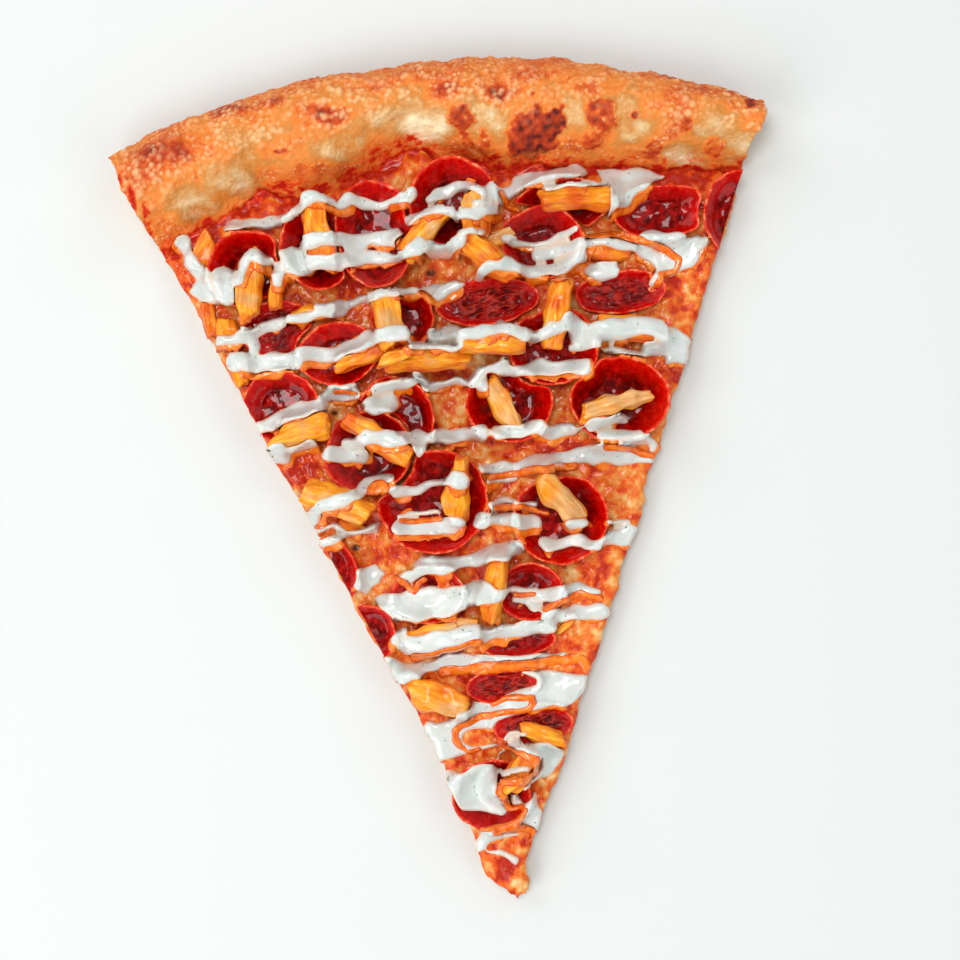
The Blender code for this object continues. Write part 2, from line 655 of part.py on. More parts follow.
bpy.context.view_layer.update()
corners = [obj.matrix_world @ v.co for obj in [bpy.data.objects["crust"]] + carriers
           for v in obj.data.vertices]
for axis in (0, 1):
    values = [corner[axis] for corner in corners]
    slice_root.location[axis] = -(min(values) + max(values)) / 2
bpy.context.view_layer.update()
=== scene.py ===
"""Looks of a slice of pepperoni and pineapple pizza, built around the frame of its solids.

The shapes are worked out in millimetres from the middle of the whole pizza, with +Y along the
slice's middle line, and each finished piece is then scaled and moved into the frame.
"""
import random
from math import cos, degrees, hypot, pi, radians, sin, sqrt

import bmesh
import bpy
import numpy as np
from mathutils import Euler, Matrix, Vector, noise
from mathutils.bvhtree import BVHTree
from mathutils.kdtree import KDTree


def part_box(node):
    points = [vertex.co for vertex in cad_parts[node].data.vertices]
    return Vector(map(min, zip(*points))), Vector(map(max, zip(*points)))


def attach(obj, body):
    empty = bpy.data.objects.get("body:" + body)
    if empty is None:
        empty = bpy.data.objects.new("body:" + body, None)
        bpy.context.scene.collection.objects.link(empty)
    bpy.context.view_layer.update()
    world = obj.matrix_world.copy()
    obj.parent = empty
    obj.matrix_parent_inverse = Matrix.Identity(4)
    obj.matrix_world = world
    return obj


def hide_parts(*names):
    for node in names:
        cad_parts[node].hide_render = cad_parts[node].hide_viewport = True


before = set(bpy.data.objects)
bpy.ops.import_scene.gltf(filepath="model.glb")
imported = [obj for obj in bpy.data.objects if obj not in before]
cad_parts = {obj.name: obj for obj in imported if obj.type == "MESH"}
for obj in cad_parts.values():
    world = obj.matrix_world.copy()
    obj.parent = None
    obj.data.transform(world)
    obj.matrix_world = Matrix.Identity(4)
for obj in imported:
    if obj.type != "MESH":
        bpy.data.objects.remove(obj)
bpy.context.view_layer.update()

random.seed(11)
noise.seed_set(11)       # without it the wavering of the liquids' edges changes with the clock

# Crust: wheat dough stretched by hand, its edge left thick so that it puffs into a rim.
# Baked on a stone deck: golden and finely blistered outside, floury and stained with oil
# towards the sauce, scorched on its large bubbles, and open and bready where it is cut.

MM = 0.001
PIZZA_MIDDLE = Vector((0.86, -129.2, 0.0)) * MM   # where the middle of the whole pizza lies in the frame
PIZZA_RADIUS = 254.8
HALF_ANGLE = radians(22.8)
BASE_TOP = 3.4
RIM_HEIGHT = 18.5
RAGGED = 0.55            # how far the wheel's cut wanders


def smooth(t):
    t = min(max(t, 0.0), 1.0)
    return t * t * (3.0 - 2.0 * t)


def wander(value, size, seed):
    return 1.6 * noise.noise(Vector((value / size, 3.7 * seed, 0.5)))


def bumps(x, y, size, seed):
    return 1.6 * noise.noise(Vector((x / size, y / size, 5.3 * seed)))


def grain(point, size, seed):
    """Smooth uneven values in space between about -1 and 1."""
    return 1.6 * noise.noise(point / size + Vector((0.0, 0.0, 7.1 * seed)))


def bubble(point, size, seed, fill=0.5):
    """Domes scattered a given size apart: 1 at the top of each and 0 between them."""
    near = noise.voronoi(point / size + Vector((3.1 * seed, 0.0, 0.0)))[0][0]
    return sqrt(max(0.0, 1.0 - (near / fill) ** 2))


# Radius at which the torn tip ends, by the part of the half angle.
TIP_START = ((-1, 9.5), (-0.7, 6.5), (-0.4, 3.0), (-0.1, 1.8), (0.2, 2.6), (0.6, 3.4), (1, 6.0))


def plan(side, radius):
    """Place of a point given as a part of the half angle, -1 to 1, and a radius."""
    blunt = 3.4 * (1.0 - smooth(radius / 24.0))
    bend = -4.0 * (1.0 - smooth((radius - 12.0) / 32.0)) * smooth(radius / 14.0)
    edge = smooth((abs(side) - 0.8) / 0.2)
    ragged = RAGGED * edge * (wander(radius, 6.0, 2.0 + side) + 0.8 * wander(radius, 17.0, side))
    turn = side * HALF_ANGLE
    return radius * sin(turn) + side * (blunt + ragged) + bend, radius * cos(turn)


# Radius at which the flat dough ends and the rim begins, by the angle in degrees.
RIM_START = ((-23, 223), (-18, 225), (-14, 227.5), (-10.4, 221.6), (-6, 225.5), (-2.5, 229.5),
             (1, 226), (4, 221.5), (8, 222.5), (16, 225), (20, 228), (23, 231.5))


def tip_start(side):
    for (a0, r0), (a1, r1) in zip(TIP_START, TIP_START[1:]):
        if side <= a1:
            return r0 + (r1 - r0) * smooth((side - a0) / (a1 - a0)) + 0.5 * wander(side, 0.12, 12.0)
    return TIP_START[-1][1]


def rim_start(side):
    angle = degrees(side * HALF_ANGLE)
    for (a0, r0), (a1, r1) in zip(RIM_START, RIM_START[1:]):
        if angle <= a1:
            return r0 + (r1 - r0) * smooth((angle - a0) / (a1 - a0)) + 0.8 * wander(side, 0.045, 11.0)
    return RIM_START[-1][1]


def rim_end(side):
    return PIZZA_RADIUS - 2.3 * side + 0.8 * wander(side, 0.16, 9.0)


def curve_through(points, t):
    """A point on the smooth curve through the given points, for t from 0 to 1."""
    span = t * (len(points) - 1)
    k = min(int(span), len(points) - 2)
    f = span - k
    near = [points[min(max(k + j, 0), len(points) - 1)] for j in (-1, 0, 1, 2)]
    return [0.5 * (2 * q + (r - p) * f + (2 * p - 5 * q + 4 * r - s) * f * f
                   + (3 * q - p - 3 * r + s) * f ** 3) for p, q, r, s in zip(*near)]


def panel(bm, columns, rows, place):
    """Add a grid to a mesh and set each vertex from its parts along the columns and rows."""
    made = bmesh.ops.create_grid(bm, x_segments=columns, y_segments=rows, size=1.0)["verts"]
    for index, vert in enumerate(made):
        row, column = divmod(index, columns + 1)
        place(vert, column / columns, row / rows)


def close(bm):
    """Weld the seams of a mesh made of grids and turn its faces outwards."""
    bmesh.ops.remove_doubles(bm, verts=bm.verts, dist=0.0005)
    bmesh.ops.recalc_face_normals(bm, faces=bm.faces)
    bm.normal_update()


def linear(code):
    """An sRGB hex colour as linear red, green, blue and 1."""
    parts = [int(code[k:k + 2], 16) / 255 for k in (1, 3, 5)]
    return (*[c / 12.92 if c <= 0.04045 else ((c + 0.055) / 1.055) ** 2.4 for c in parts], 1.0)


def add(tree, kind, inputs=None, stops=None, **settings):
    """Add one shader node with its settings, its inputs as values or links, and a ramp's stops."""
    made = tree.nodes.new("ShaderNode" + kind)
    for name, value in settings.items():
        setattr(made, name, value)
    for name, value in (inputs or {}).items():
        if isinstance(value, bpy.types.NodeSocket):
            tree.links.new(value, made.inputs[name])
        else:
            made.inputs[name].default_value = value
    if stops:
        ramp = made.color_ramp
        while len(ramp.elements) < len(stops):
            ramp.elements.new(1.0)
        for element, (place, code) in zip(ramp.elements, stops):
            element.position = place
            element.color = linear(code)
    return made


def surface(name, **constants):
    """A new material: its tree, and its shader with values that are the same everywhere."""
    mat = bpy.data.materials.new(name)
    mat.use_nodes = True
    shader = mat.node_tree.nodes["Principled BSDF"]
    for socket, value in constants.items():
        shader.inputs[socket.replace("_", " ")].default_value = value
    return mat, mat.node_tree, shader


laid = []                # every finished shape, as a search tree with its box, for what lies on it


def finish_piece(name, bm, mat, slot, *nodes, carries=True):
    """Turn a shape in millimetres into a piece of the slice that stands for its solids."""
    bm.normal_update()
    if carries:
        low = [min(v.co[k] for v in bm.verts) for k in range(2)]
        high = [max(v.co[k] for v in bm.verts) for k in range(2)]
        laid.append((BVHTree.FromBMesh(bm), low, high))
    bmesh.ops.scale(bm, vec=(MM, MM, MM), verts=bm.verts)
    bmesh.ops.translate(bm, vec=PIZZA_MIDDLE, verts=bm.verts)
    mesh = bpy.data.meshes.new(name)
    bm.to_mesh(mesh)
    bm.free()
    mesh.materials.append(mat)
    mesh.shade_smooth()
    piece = bpy.data.objects.new(name, mesh)
    bpy.context.scene.collection.objects.link(piece)
    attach(piece, "root")
    if nodes:
        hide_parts(*nodes)
    return piece


RIM_OVER = (             # part of the rim's width, part of its height, from the sauce outwards
    (0.0, 0.0), (0.09, 0.20), (0.22, 0.62), (0.38, 0.88), (0.56, 1.0), (0.74, 0.97),
    (0.88, 0.78), (0.97, 0.50), (1.0, 0.26))
RIM_UNDER = ((0.0, -0.226), (0.27, -0.226), (0.54, -0.226), (0.80, -0.226), (0.90, -0.10), (0.975, 0.08),
             (1.0, 0.26))
BASE_ROWS, RIM_ROWS = 104, 28
CRUST_COLUMNS = 98
CUT_LEVELS = 6
BASE_PART = BASE_ROWS / (BASE_ROWS + RIM_ROWS)

# Scorched bubbles: x, y, half widths, height of the bubble, how dark it is.
SCORCHED = (
    (7, 236, 4.5, 4.5, 0.9, 0.76), (48, 232, 5.5, 6, 1.1, 0.74), (45, 226, 3, 3, 0.6, 0.66),
    (28, 230, 8, 7, 1.5, 0.84), (24, 226, 5, 3.4, 0.9, 0.74), (34, 232, 3.6, 4, 0.7, 0.90),
    (93, 231.5, 2, 2, 0.3, 0.86), (58, 231, 1.1, 1.1, 0.2, 0.8), (28.5, 240.5, 0.9, 0.9, 0.1, 0.78),
    (40, 244, 0.8, 0.8, 0.1, 0.7), (37, 236, 1, 1, 0.1, 0.7), (-47.5, 231.5, 2.2, 0.8, 0.2, 0.78),
    (48, 219, 3, 2, 0.4, 0.8), (73, 227, 2.2, 2.4, 0.3, 0.68), (63, 221, 3, 3, 0.4, 0.62),
    (8, 229, 2, 3.6, 0.3, 0.62), (13, 228, 2, 4, 0.3, 0.66), (81, 220, 4, 3, 0.3, 0.56))
# Toasted places: x, y, half widths, how much darker than round them.
BROWNED = (
    (-62, 246, 6, 2.8, 0.22), (-48, 246.5, 4, 2.4, 0.2), (-31, 239.5, 6, 3, 0.26), (-36, 242, 5, 2.4, 0.14),
    (-82, 234, 10, 5, 0.17), (-90, 226, 8, 5, 0.12), (3, 244, 5, 2.6, 0.22), (18, 241.5, 6, 3, 0.24),
    (45, 240, 5, 3, 0.18), (70, 226, 4, 4, 0.16), (30, 246, 9, 2.4, 0.12), (84, 237, 10, 3, 0.16),
    (-10, 249, 14, 3, 0.1), (-46, 233, 8, 4, 0.12), (-40, 226, 6, 4, 0.1), (-66, 234, 7, 4, 0.08),
    (60, 222, 6, 3, 0.14), (66, 243, 9, 2.4, 0.12), (-20, 247, 5, 2, 0.1), (38, 222, 5, 3, 0.14))
# Places where flour stayed dry: x, y, half widths, how much paler.
FLOURED = (
    (-3, 234, 8, 5, 0.6), (12, 238, 6, 4, 0.3), (17, 234, 4, 4, 0.36), (75, 216, 5, 4, 0.5),
    (80, 226, 8, 5, 0.32),
    (-62, 224, 8, 4, 0.36), (-76, 219, 8, 5, 0.34), (40, 234, 5, 7, 0.34), (-14, 237, 10, 4, 0.34),
    (58, 227, 5, 4, 0.34), (70, 220, 5, 4, 0.4), (-30, 231, 9, 4, 0.3), (88, 219, 6, 4, 0.3),
    (-55, 237, 9, 3, 0.14), (-28, 246, 10, 3, 0.1), (55, 234, 5, 4, 0.3))
# Places where oil and sauce soaked in: x, y, half widths.
STAINED = (
    (-55, 218, 5, 4), (-47, 222, 8, 3.6), (-38, 219.5, 7, 3.5), (-18, 227.5, 8, 5), (-10, 230.5, 8, 3.5),
    (4, 226, 6, 4), (15, 223, 6, 4), (26, 223, 7, 3), (80, 212.5, 7, 3.5), (-83, 208, 5, 4),
    (-89, 216, 1.6, 8), (-92.5, 222, 1.4, 7), (34, 220, 8, 3.4), (-28, 223, 6, 4), (62, 217, 7, 2.4),
    (-95, 229, 1.4, 4), (-62, 217, 4, 2.5), (50, 219, 7, 3), (90, 214, 4, 3))


def spot(x, y, place, size, spread=1.0):
    """1 at the middle of an oval spot, falling to 0 beyond its edge."""
    out = hypot((x - place[0]) / size[0], (y - place[1]) / size[1]) / spread
    return smooth(1.35 - out) if out < 1.4 else 0.0


def set_crust(side_of, s_of):
    """A placer for one panel of the crust, from its parts across, along and up."""
    def place(vert, column, row):
        side, t, s = side_of(column, row), row, s_of(column, row)
        start, end = rim_start(side), rim_end(side)
        height = RIM_HEIGHT * (1.0 + 0.07 * wander(side, 0.35, 4.0)) - BASE_TOP
        if t <= BASE_PART:
            first = tip_start(side)
            radius, z = first + (start - first) * t / BASE_PART, BASE_TOP * s
            across = 0.0
        else:
            across = (t - BASE_PART) / (1.0 - BASE_PART)
            over, under = curve_through(RIM_OVER, across), curve_through(RIM_UNDER, across)
            out, up = [low + (high - low) * s for low, high in zip(under, over)]
            radius, z = start + (end - start) * out, max(BASE_TOP + height * up, 0.0)
        x, y = plan(side, radius)
        swell = smooth((z - BASE_TOP) / 8.0)
        vert.co = (x, y, z + 0.9 * swell * bumps(x, y, 13.0, 1.0))
        vert[across_layer] = across
        vert[cut_layer] = 1.0 if abs(side) == 1.0 and 0.0 < s < 1.0 and t < 1.0 else 0.0
    return place


bm = bmesh.new()
across_layer = bm.verts.layers.float.new("across")
cut_layer = bm.verts.layers.float.new("cut")
bake_and_shade_layer = bm.verts.layers.float.new("bake_and_shade")
stain_layer = bm.verts.layers.float.new("stain")
blister_highlight_layer = bm.verts.layers.float.new("blister_highlight")
rows = BASE_ROWS + RIM_ROWS
for level in (0.0, 1.0):
    panel(bm, CRUST_COLUMNS, rows, set_crust(lambda c, r: 2.0 * c - 1.0, lambda c, r, level=level: level))
for side in (-1.0, 1.0):
    panel(bm, CUT_LEVELS, rows, set_crust(lambda c, r, side=side: side, lambda c, r: c))
tip = bmesh.ops.create_grid(bm, x_segments=CRUST_COLUMNS, y_segments=CUT_LEVELS, size=1.0)["verts"]
for index, vert in enumerate(tip):
    level, column = divmod(index, CRUST_COLUMNS + 1)
    side = 2.0 * column / CRUST_COLUMNS - 1.0
    x, y = plan(side, tip_start(side))
    vert.co = (x, y, BASE_TOP * level / CUT_LEVELS)
    vert[cut_layer] = 1.0
bmesh.ops.remove_doubles(bm, verts=bm.verts, dist=0.001)
rim_edges = {e for f in bm.faces if max(v[across_layer] for v in f.verts) > 0.0
             and max(v.co.z for v in f.verts) > 0.4 for e in f.edges}
bmesh.ops.subdivide_edges(bm, edges=list(rim_edges), cuts=3, use_grid_fill=True)
close(bm)
for vert in bm.verts:
    p = vert.co.copy()
    cut, across = vert[cut_layer], vert[across_layer]
    top = smooth(across / 0.08) * (1.0 - cut)
    broad = 0.5 * grain(p, 8.0, 1.0) + 0.3 * grain(p, 3.6, 2.0) + 0.12 * grain(p, 1.6, 3.0)
    outer = smooth((across - 0.26) / 0.26)
    patchy = smooth(0.8 + 0.6 * grain(p, 16.0, 4.0))
    large = bubble(p, 3.3, 3.0, 0.44) * smooth(0.5 + grain(p, 9.0, 5.0))
    small = bubble(p, 2.0, 1.0, 0.48) * smooth(0.75 + grain(p, 7.0, 6.0))
    tiny = bubble(p, 1.4, 2.0, 0.46) * smooth(0.8 + grain(p, 5.0, 7.0))
    # blister: the tops of the blisters, which the material paints paler as a highlight.
    blister_highlight = max(large, small, 0.8 * tiny) ** 2 * outer * (0.3 + 0.7 * patchy)
    rise = top * (broad + outer * (0.6 * large + 0.5 * small * (0.5 + 0.5 * patchy) + 0.26 * tiny))
    rise += top * 0.16 * grain(p, 0.8, 8.0)
    bake_and_shade = 0.40 + 0.13 * smooth((across - 0.3) / 0.35) + 0.07 * smooth((across - 0.65) / 0.3)
    bake_and_shade += 0.08 * grain(p, 11.0, 9.0) + 0.07 * grain(p, 3.4, 10.0)
    for x, y, wide, deep, dark in BROWNED:
        bake_and_shade += dark * spot(p.x, p.y, (x, y), (wide, deep)) * (1.0 + 0.5 * grain(p, 2.0, 11.0))
    for x, y, wide, deep, pale in FLOURED:
        bake_and_shade -= 0.62 * pale * spot(p.x, p.y, (x, y), (wide, deep)) * (1.0 + 0.4 * grain(p, 4.0, 12.0))
    for x, y, wide, deep, high, dark in SCORCHED:
        size = wide * (1.0 + 0.25 * grain(p, 4.0, 13.0)), deep * (1.0 + 0.25 * grain(p, 4.0, 13.0))
        dome = smooth(2.0 * spot(p.x, p.y, (x, y), size) - 0.45 + 0.3 * grain(p, 1.3, 25.0))
        rise += top * high * dome * (1.0 - 0.4 * bubble(p, 2.4, 4.0))
        bake_and_shade = max(bake_and_shade, bake_and_shade + (dark - bake_and_shade) * dome + 0.14 * dome * grain(p, 1.8, 14.0))
        blister_highlight *= 1.0 - 0.55 * dome
    ragged = 0.16 + 0.08 * grain(p, 7.0, 16.0) + 0.05 * grain(p, 2.2, 15.0) + 0.04 * grain(p, 1.0, 22.0)
    stain = 0.85 * smooth((ragged - across) / 0.16) * (0.85 + 0.4 * grain(p, 3.0, 17.0))
    for x, y, wide, deep in STAINED:
        stain = max(stain, spot(p.x, p.y, (x, y), (wide, deep)) * (0.5 + 0.4 * grain(p, 2.6, 18.0)
                                                                   + 0.3 * grain(p, 1.0, 23.0)))
    bake_and_shade += 0.12 * smooth((0.34 + 0.14 * grain(p, 8.0, 19.0) - across) / 0.2)
    if cut > 0.0:
        crumb = bubble(p, 3.6, 7.0, 0.5) if across > 0.05 else 0.0
        fine = bubble(p, 1.5, 8.0, 0.5)
        rise += cut * ((0.35 if across > 0.05 else 0.16) * grain(p, 2.2, 19.0) - 0.9 * crumb - 0.3 * fine)
        # In the cut the crumb's holes are painted more golden and darker than the crumb round them: painted
        # shade.
        bake_and_shade = bake_and_shade + (0.16 + 0.22 * max(crumb, 0.6 * fine) - bake_and_shade) * cut
        wetted = smooth((p.z - 0.7 * BASE_TOP) / 1.5) * smooth(0.5 + grain(p, 3.0, 24.0))
        stain = 0.3 * wetted if across < 0.1 else 0.0
    if vert.normal.z < -0.6 and p.z < 0.3:
        bake_and_shade = 0.42 + 0.16 * grain(p, 11.0, 20.0) + 0.12 * grain(p, 3.0, 21.0)
        rise, stain, blister_highlight = -0.12 * bubble(p, 3.0, 22.0), 0.0, 0.0
    vert.co += vert.normal * rise
    vert.co.z = max(vert.co.z, 0.0)
    vert[bake_and_shade_layer], vert[stain_layer], vert[blister_highlight_layer] = bake_and_shade, stain, blister_highlight

# Baked dough: dry and matt, with a faint toasted sheen on the rim.
baked, tree, shader = surface("baked_dough", Roughness=0.62, IOR=1.45, Subsurface_Weight=0.03,
                              Subsurface_Scale=0.001, Specular_IOR_Level=0.25)
point = add(tree, "TexCoord").outputs["Object"]
bake_and_shade = add(tree, "Attribute", attribute_name="bake_and_shade").outputs["Fac"]
stain = add(tree, "Attribute", attribute_name="stain").outputs["Fac"]
blister_highlight = add(tree, "Attribute", attribute_name="blister_highlight").outputs["Fac"]
freckle = add(tree, "TexNoise", {"Vector": point, "Scale": 1 / (1.1 * MM), "Detail": 4.0, "Roughness": 0.6})
uneven = add(tree, "Math", {0: freckle.outputs["Fac"], 1: 0.34, 2: -0.17}, operation="MULTIPLY_ADD")
level = add(tree, "Math", {0: bake_and_shade, 1: uneven.outputs[0]}, operation="ADD")
toast = add(tree, "ValToRGB", {"Fac": level.outputs[0]}, stops=(
    (0.0, "#F6E2B8"), (0.20, "#DEB27A"), (0.36, "#D0883F"), (0.50, "#EA8636"), (0.62, "#DA6220"),
    (0.76, "#BC3E14"), (0.90, "#942A14"), (1.0, "#5E1A12")))
pop = add(tree, "TexVoronoi", {"Vector": point, "Scale": 1 / (1.5 * MM), "Randomness": 1.0})
dome = add(tree, "MapRange", {"Value": pop.outputs["Distance"], "From Min": 0.5, "From Max": 0.2}, clamp=True)
crowd = add(tree, "TexNoise", {"Vector": point, "Scale": 1 / (6.0 * MM), "Detail": 2.0})
crowded = add(tree, "MapRange", {"Value": crowd.outputs["Fac"], "From Min": 0.4, "From Max": 0.56},
              clamp=True)
browned = add(tree, "MapRange", {"Value": bake_and_shade, "From Min": 0.45, "From Max": 0.58, "To Max": 0.6},
              clamp=True)
risen = add(tree, "Math", {0: dome.outputs[0], 1: crowded.outputs[0]}, operation="MULTIPLY")
risen = add(tree, "Math", {0: risen.outputs[0], 1: browned.outputs[0]}, operation="MULTIPLY")
spared = add(tree, "MapRange", {"Value": bake_and_shade, "From Min": 0.68, "From Max": 0.62}, clamp=True)
risen = add(tree, "Math", {0: risen.outputs[0], 1: spared.outputs[0]}, operation="MULTIPLY")
# The tops of the blisters and of the small risen domes are painted paler (#FFCC94): a painted highlight, not
# a colour of the dough.
soft = add(tree, "Math", {0: blister_highlight, 1: 0.8}, operation="MULTIPLY")
pale = add(tree, "Math", {0: soft.outputs[0], 1: risen.outputs[0]}, operation="MAXIMUM")
lit = add(tree, "Mix", {"Factor": pale.outputs[0], "A": toast.outputs["Color"], "B": linear("#FFCC94")},
          data_type="RGBA")
wet = add(tree, "MapRange", {"Value": stain, "From Min": 0.12, "From Max": 0.9}, clamp=True)
oil = add(tree, "ValToRGB", {"Fac": wet.outputs[0]}, stops=(
    (0.1, "#F08436"), (0.45, "#E65414"), (0.85, "#C41C06")))
soaked = add(tree, "MapRange", {"Value": stain, "From Min": 0.02, "From Max": 0.6}, clamp=True)
red = add(tree, "Mix", {"Factor": soaked.outputs[0], "A": lit.outputs["Result"], "B": oil.outputs["Color"]},
          data_type="RGBA")
relief = add(tree, "Math", {0: freckle.outputs["Fac"], 1: risen.outputs[0]}, operation="ADD")
pitted = add(tree, "Bump", {"Height": relief.outputs[0], "Strength": 0.7, "Distance": 0.4 * MM})
tree.links.new(red.outputs["Result"], shader.inputs["Base Color"])
tree.links.new(pitted.outputs["Normal"], shader.inputs["Normal"])
finish_piece("baked_crust", bm, baked, "crust", "crust")

# Tomato sauce: crushed tomato smeared over the dough before baking. It shows as a moist red
# line at the cuts and has bubbled out past the cheese along the rim.

SAUCE_TOP = BASE_TOP + 1.5
SAUCE_BOTTOM = BASE_TOP - 0.3        # a little way into the dough, so that no gap shows at the cuts
SAUCE_COLUMNS, SAUCE_ROWS = 120, 150


def sauce_edge(side):
    return rim_start(side) - 0.4 + 1.5 * wander(side, 0.09, 31.0) + 1.1 * wander(side, 0.03, 32.0)


def set_sauce(vert, column, row):
    side = 2.0 * column - 1.0
    start = tip_start(side) + 0.5
    radius = start + (sauce_edge(side) - start) * row
    x, y = plan(side, radius)
    x += side * 0.25 * wander(radius, 3.0, 33.0 + side)
    climb = max(0.0, radius - rim_start(side) + 1.0)
    z = SAUCE_TOP + 0.75 * climb - 0.5 * smooth((row - 0.985) / 0.015)
    vert.co = (x, y, z + 0.25 * bumps(x, y, 2.4, 34.0))


def fill_below(bm, bottom):
    """Make a sheet solid, with walls from its border down to a flat bottom."""
    border = [e for e in bm.edges if e.is_boundary]
    bmesh.ops.recalc_face_normals(bm, faces=bm.faces)
    walls = bmesh.ops.extrude_edge_only(bm, edges=border)["geom"]
    for vert in (g for g in walls if isinstance(g, bmesh.types.BMVert)):
        vert.co.z = bottom
    bmesh.ops.holes_fill(bm, edges=[e for e in bm.edges if e.is_boundary])
    close(bm)


bm = bmesh.new()
panel(bm, SAUCE_COLUMNS, SAUCE_ROWS, set_sauce)
fill_below(bm, SAUCE_BOTTOM)

# Cooked tomato: wet, pulpy and slightly see-through.
tomato, tree, shader = surface("cooked_tomato", Roughness=0.3, Specular_IOR_Level=0.35, IOR=1.36,
                               Subsurface_Weight=0.1, Subsurface_Scale=0.0015, Coat_Weight=0.3,
                               Coat_Roughness=0.12)
point = add(tree, "TexCoord").outputs["Object"]
pulp = add(tree, "TexNoise", {"Vector": point, "Scale": 1 / (1.6 * MM), "Detail": 5.0})
red = add(tree, "ValToRGB", {"Fac": pulp.outputs["Fac"]}, stops=(
    (0.3, "#9C0C04"), (0.5, "#CC2208"), (0.68, "#EA5218")))
lumpy = add(tree, "Bump", {"Height": pulp.outputs["Fac"], "Strength": 0.6, "Distance": 0.5 * MM})
tree.links.new(red.outputs["Color"], shader.inputs["Base Color"])
tree.links.new(lumpy.outputs["Normal"], shader.inputs["Normal"])
finish_piece("tomato_sauce_smear", bm, tomato, "tomato_sauce", "tomato_sauce")

# Cheese: grated mozzarella melted into one lumpy sheet. Oil from the pepperoni has stained it
# orange, it has browned on its bubbles, and it sags a little over the cuts.

CHEESE_BOTTOM = BASE_TOP + 1.54
CHEESE_THICKNESS = 2.0
CHEESE_COLUMNS, CHEESE_ROWS = 220, 320

# Red and orange places on the cheese, and browned flecks: x, y, half widths, how strong.
OILED = (
    (-3, 11, 5, 5, 0.45), (-3.3, 10.5, 2.6, 3.6, 0.75), (4.5, 18.5, 3, 2.2, 0.6), (0, 22, 8, 10, 0.25),
    (-52, 136, 7, 4, 0.5), (52, 184, 7, 5, 0.5), (70, 198, 8, 4, 0.3),
    (-71, 196, 3, 9, 0.4), (-20, 226, 8, 4, 0.5), (30, 184, 8, 4, 0.3), (-30, 160, 10, 4, 0.3),
    (0, 140, 12, 4, 0.3), (30, 136, 12, 3, 0.35), (-20, 108, 12, 3, 0.35), (20, 76, 10, 4, 0.3),
    (0, 70, 14, 4, 0.35), (-24, 66, 3, 8, 0.3), (60, 154, 8, 4, 0.35), (-30, 190, 10, 4, 0.35),
    (34, 100, 6, 10, 0.2), (14, 222, 8, 3, 0.4), (72, 213, 8, 3, 0.5), (-60, 214, 10, 3, 0.1))
FLECKS = (
    (-40, 153.5, 2, 1.3, 1.1), (-38.5, 112, 1.6, 1.2, 1.0), (-4, 117.5, 1.6, 1.2, 1.0),
    (-5, 110.5, 2.2, 1.6, 1.1),
    (-7, 192, 1.8, 1.4, 0.9), (-35, 110, 5, 4, 0.5), (-38, 152, 5, 3, 0.5), (-8, 193, 6, 4, 0.4),
    (8, 123, 5, 3, 0.4), (67, 176, 2, 1.5, 0.6), (25, 210, 3, 2, 0.6), (47, 104, 1.5, 1.5, 0.6))


def cheese_end(side):
    return rim_start(side) - 2.0 - 1.2 * wander(side, 0.12, 6.0) + 1.5 * wander(side, 0.035, 7.0)


def set_cheese(vert, column, row):
    side = 2.0 * column - 1.0
    start = tip_start(side) + 0.8 * wander(side, 0.2, 13.0)
    radius = start + (cheese_end(side) - start) * row
    x, y = plan(side, radius)
    cut = smooth((abs(side) * radius * HALF_ANGLE - radius * HALF_ANGLE + 1.6) / 1.6)
    x += side * cut * (0.15 + 0.35 * wander(radius, 2.6, 35.0 + side))
    lump = 0.38 * bumps(x, y, 12.0, 2.0)
    thin = 0.45 + 0.55 * smooth((cheese_end(side) - radius) / 7.0)
    p = Vector((x, y, 0.0))
    fine = 0.42 * grain(p, 4.2, 36.0) + 0.34 * grain(p, 2.0, 37.0) + 0.16 * grain(p, 1.1, 38.0)
    boil = bubble(p, 6.5, 39.0, 0.42) * smooth(grain(p, 14.0, 40.0) + 0.1)
    pit = bubble(p, 2.6, 41.0, 0.3) * smooth(grain(p, 8.0, 42.0))
    z = CHEESE_BOTTOM + (CHEESE_THICKNESS + lump) * thin + fine + 0.8 * boil - 0.45 * pit
    z -= 0.9 * cut * cut + 0.9 * smooth((row - 0.99) / 0.01)
    vert.co = (x, y, max(z, CHEESE_BOTTOM + 0.15))
    brown = 0.7 * boil + 0.25 * smooth(grain(p, 10.0, 43.0)) + 0.3 * fine
    stain = 0.54 + 0.25 * smooth((row - 0.92) / 0.08)
    stain += 0.22 * grain(p, 7.0, 44.0)
    stain += 0.26 * grain(p, 2.2, 45.0)
    for place_x, place_y, wide, deep, much in OILED:
        stain += 0.7 * much * spot(x, y, (place_x, place_y), (wide, deep)) * (1.0 + 0.5 * grain(p, 3.0, 46.0))
    for place_x, place_y, wide, deep, much in FLECKS:
        brown += much * spot(x, y, (place_x, place_y), (wide, deep)) * (1.0 + 0.5 * grain(p, 1.6, 47.0))
    vert[brown_layer] = brown
    vert[stain_layer] = stain - 0.45 * fine


bm = bmesh.new()
brown_layer = bm.verts.layers.float.new("brown")
stain_layer = bm.verts.layers.float.new("stain")
panel(bm, CHEESE_COLUMNS, CHEESE_ROWS, set_cheese)
fill_below(bm, CHEESE_BOTTOM - 0.1)

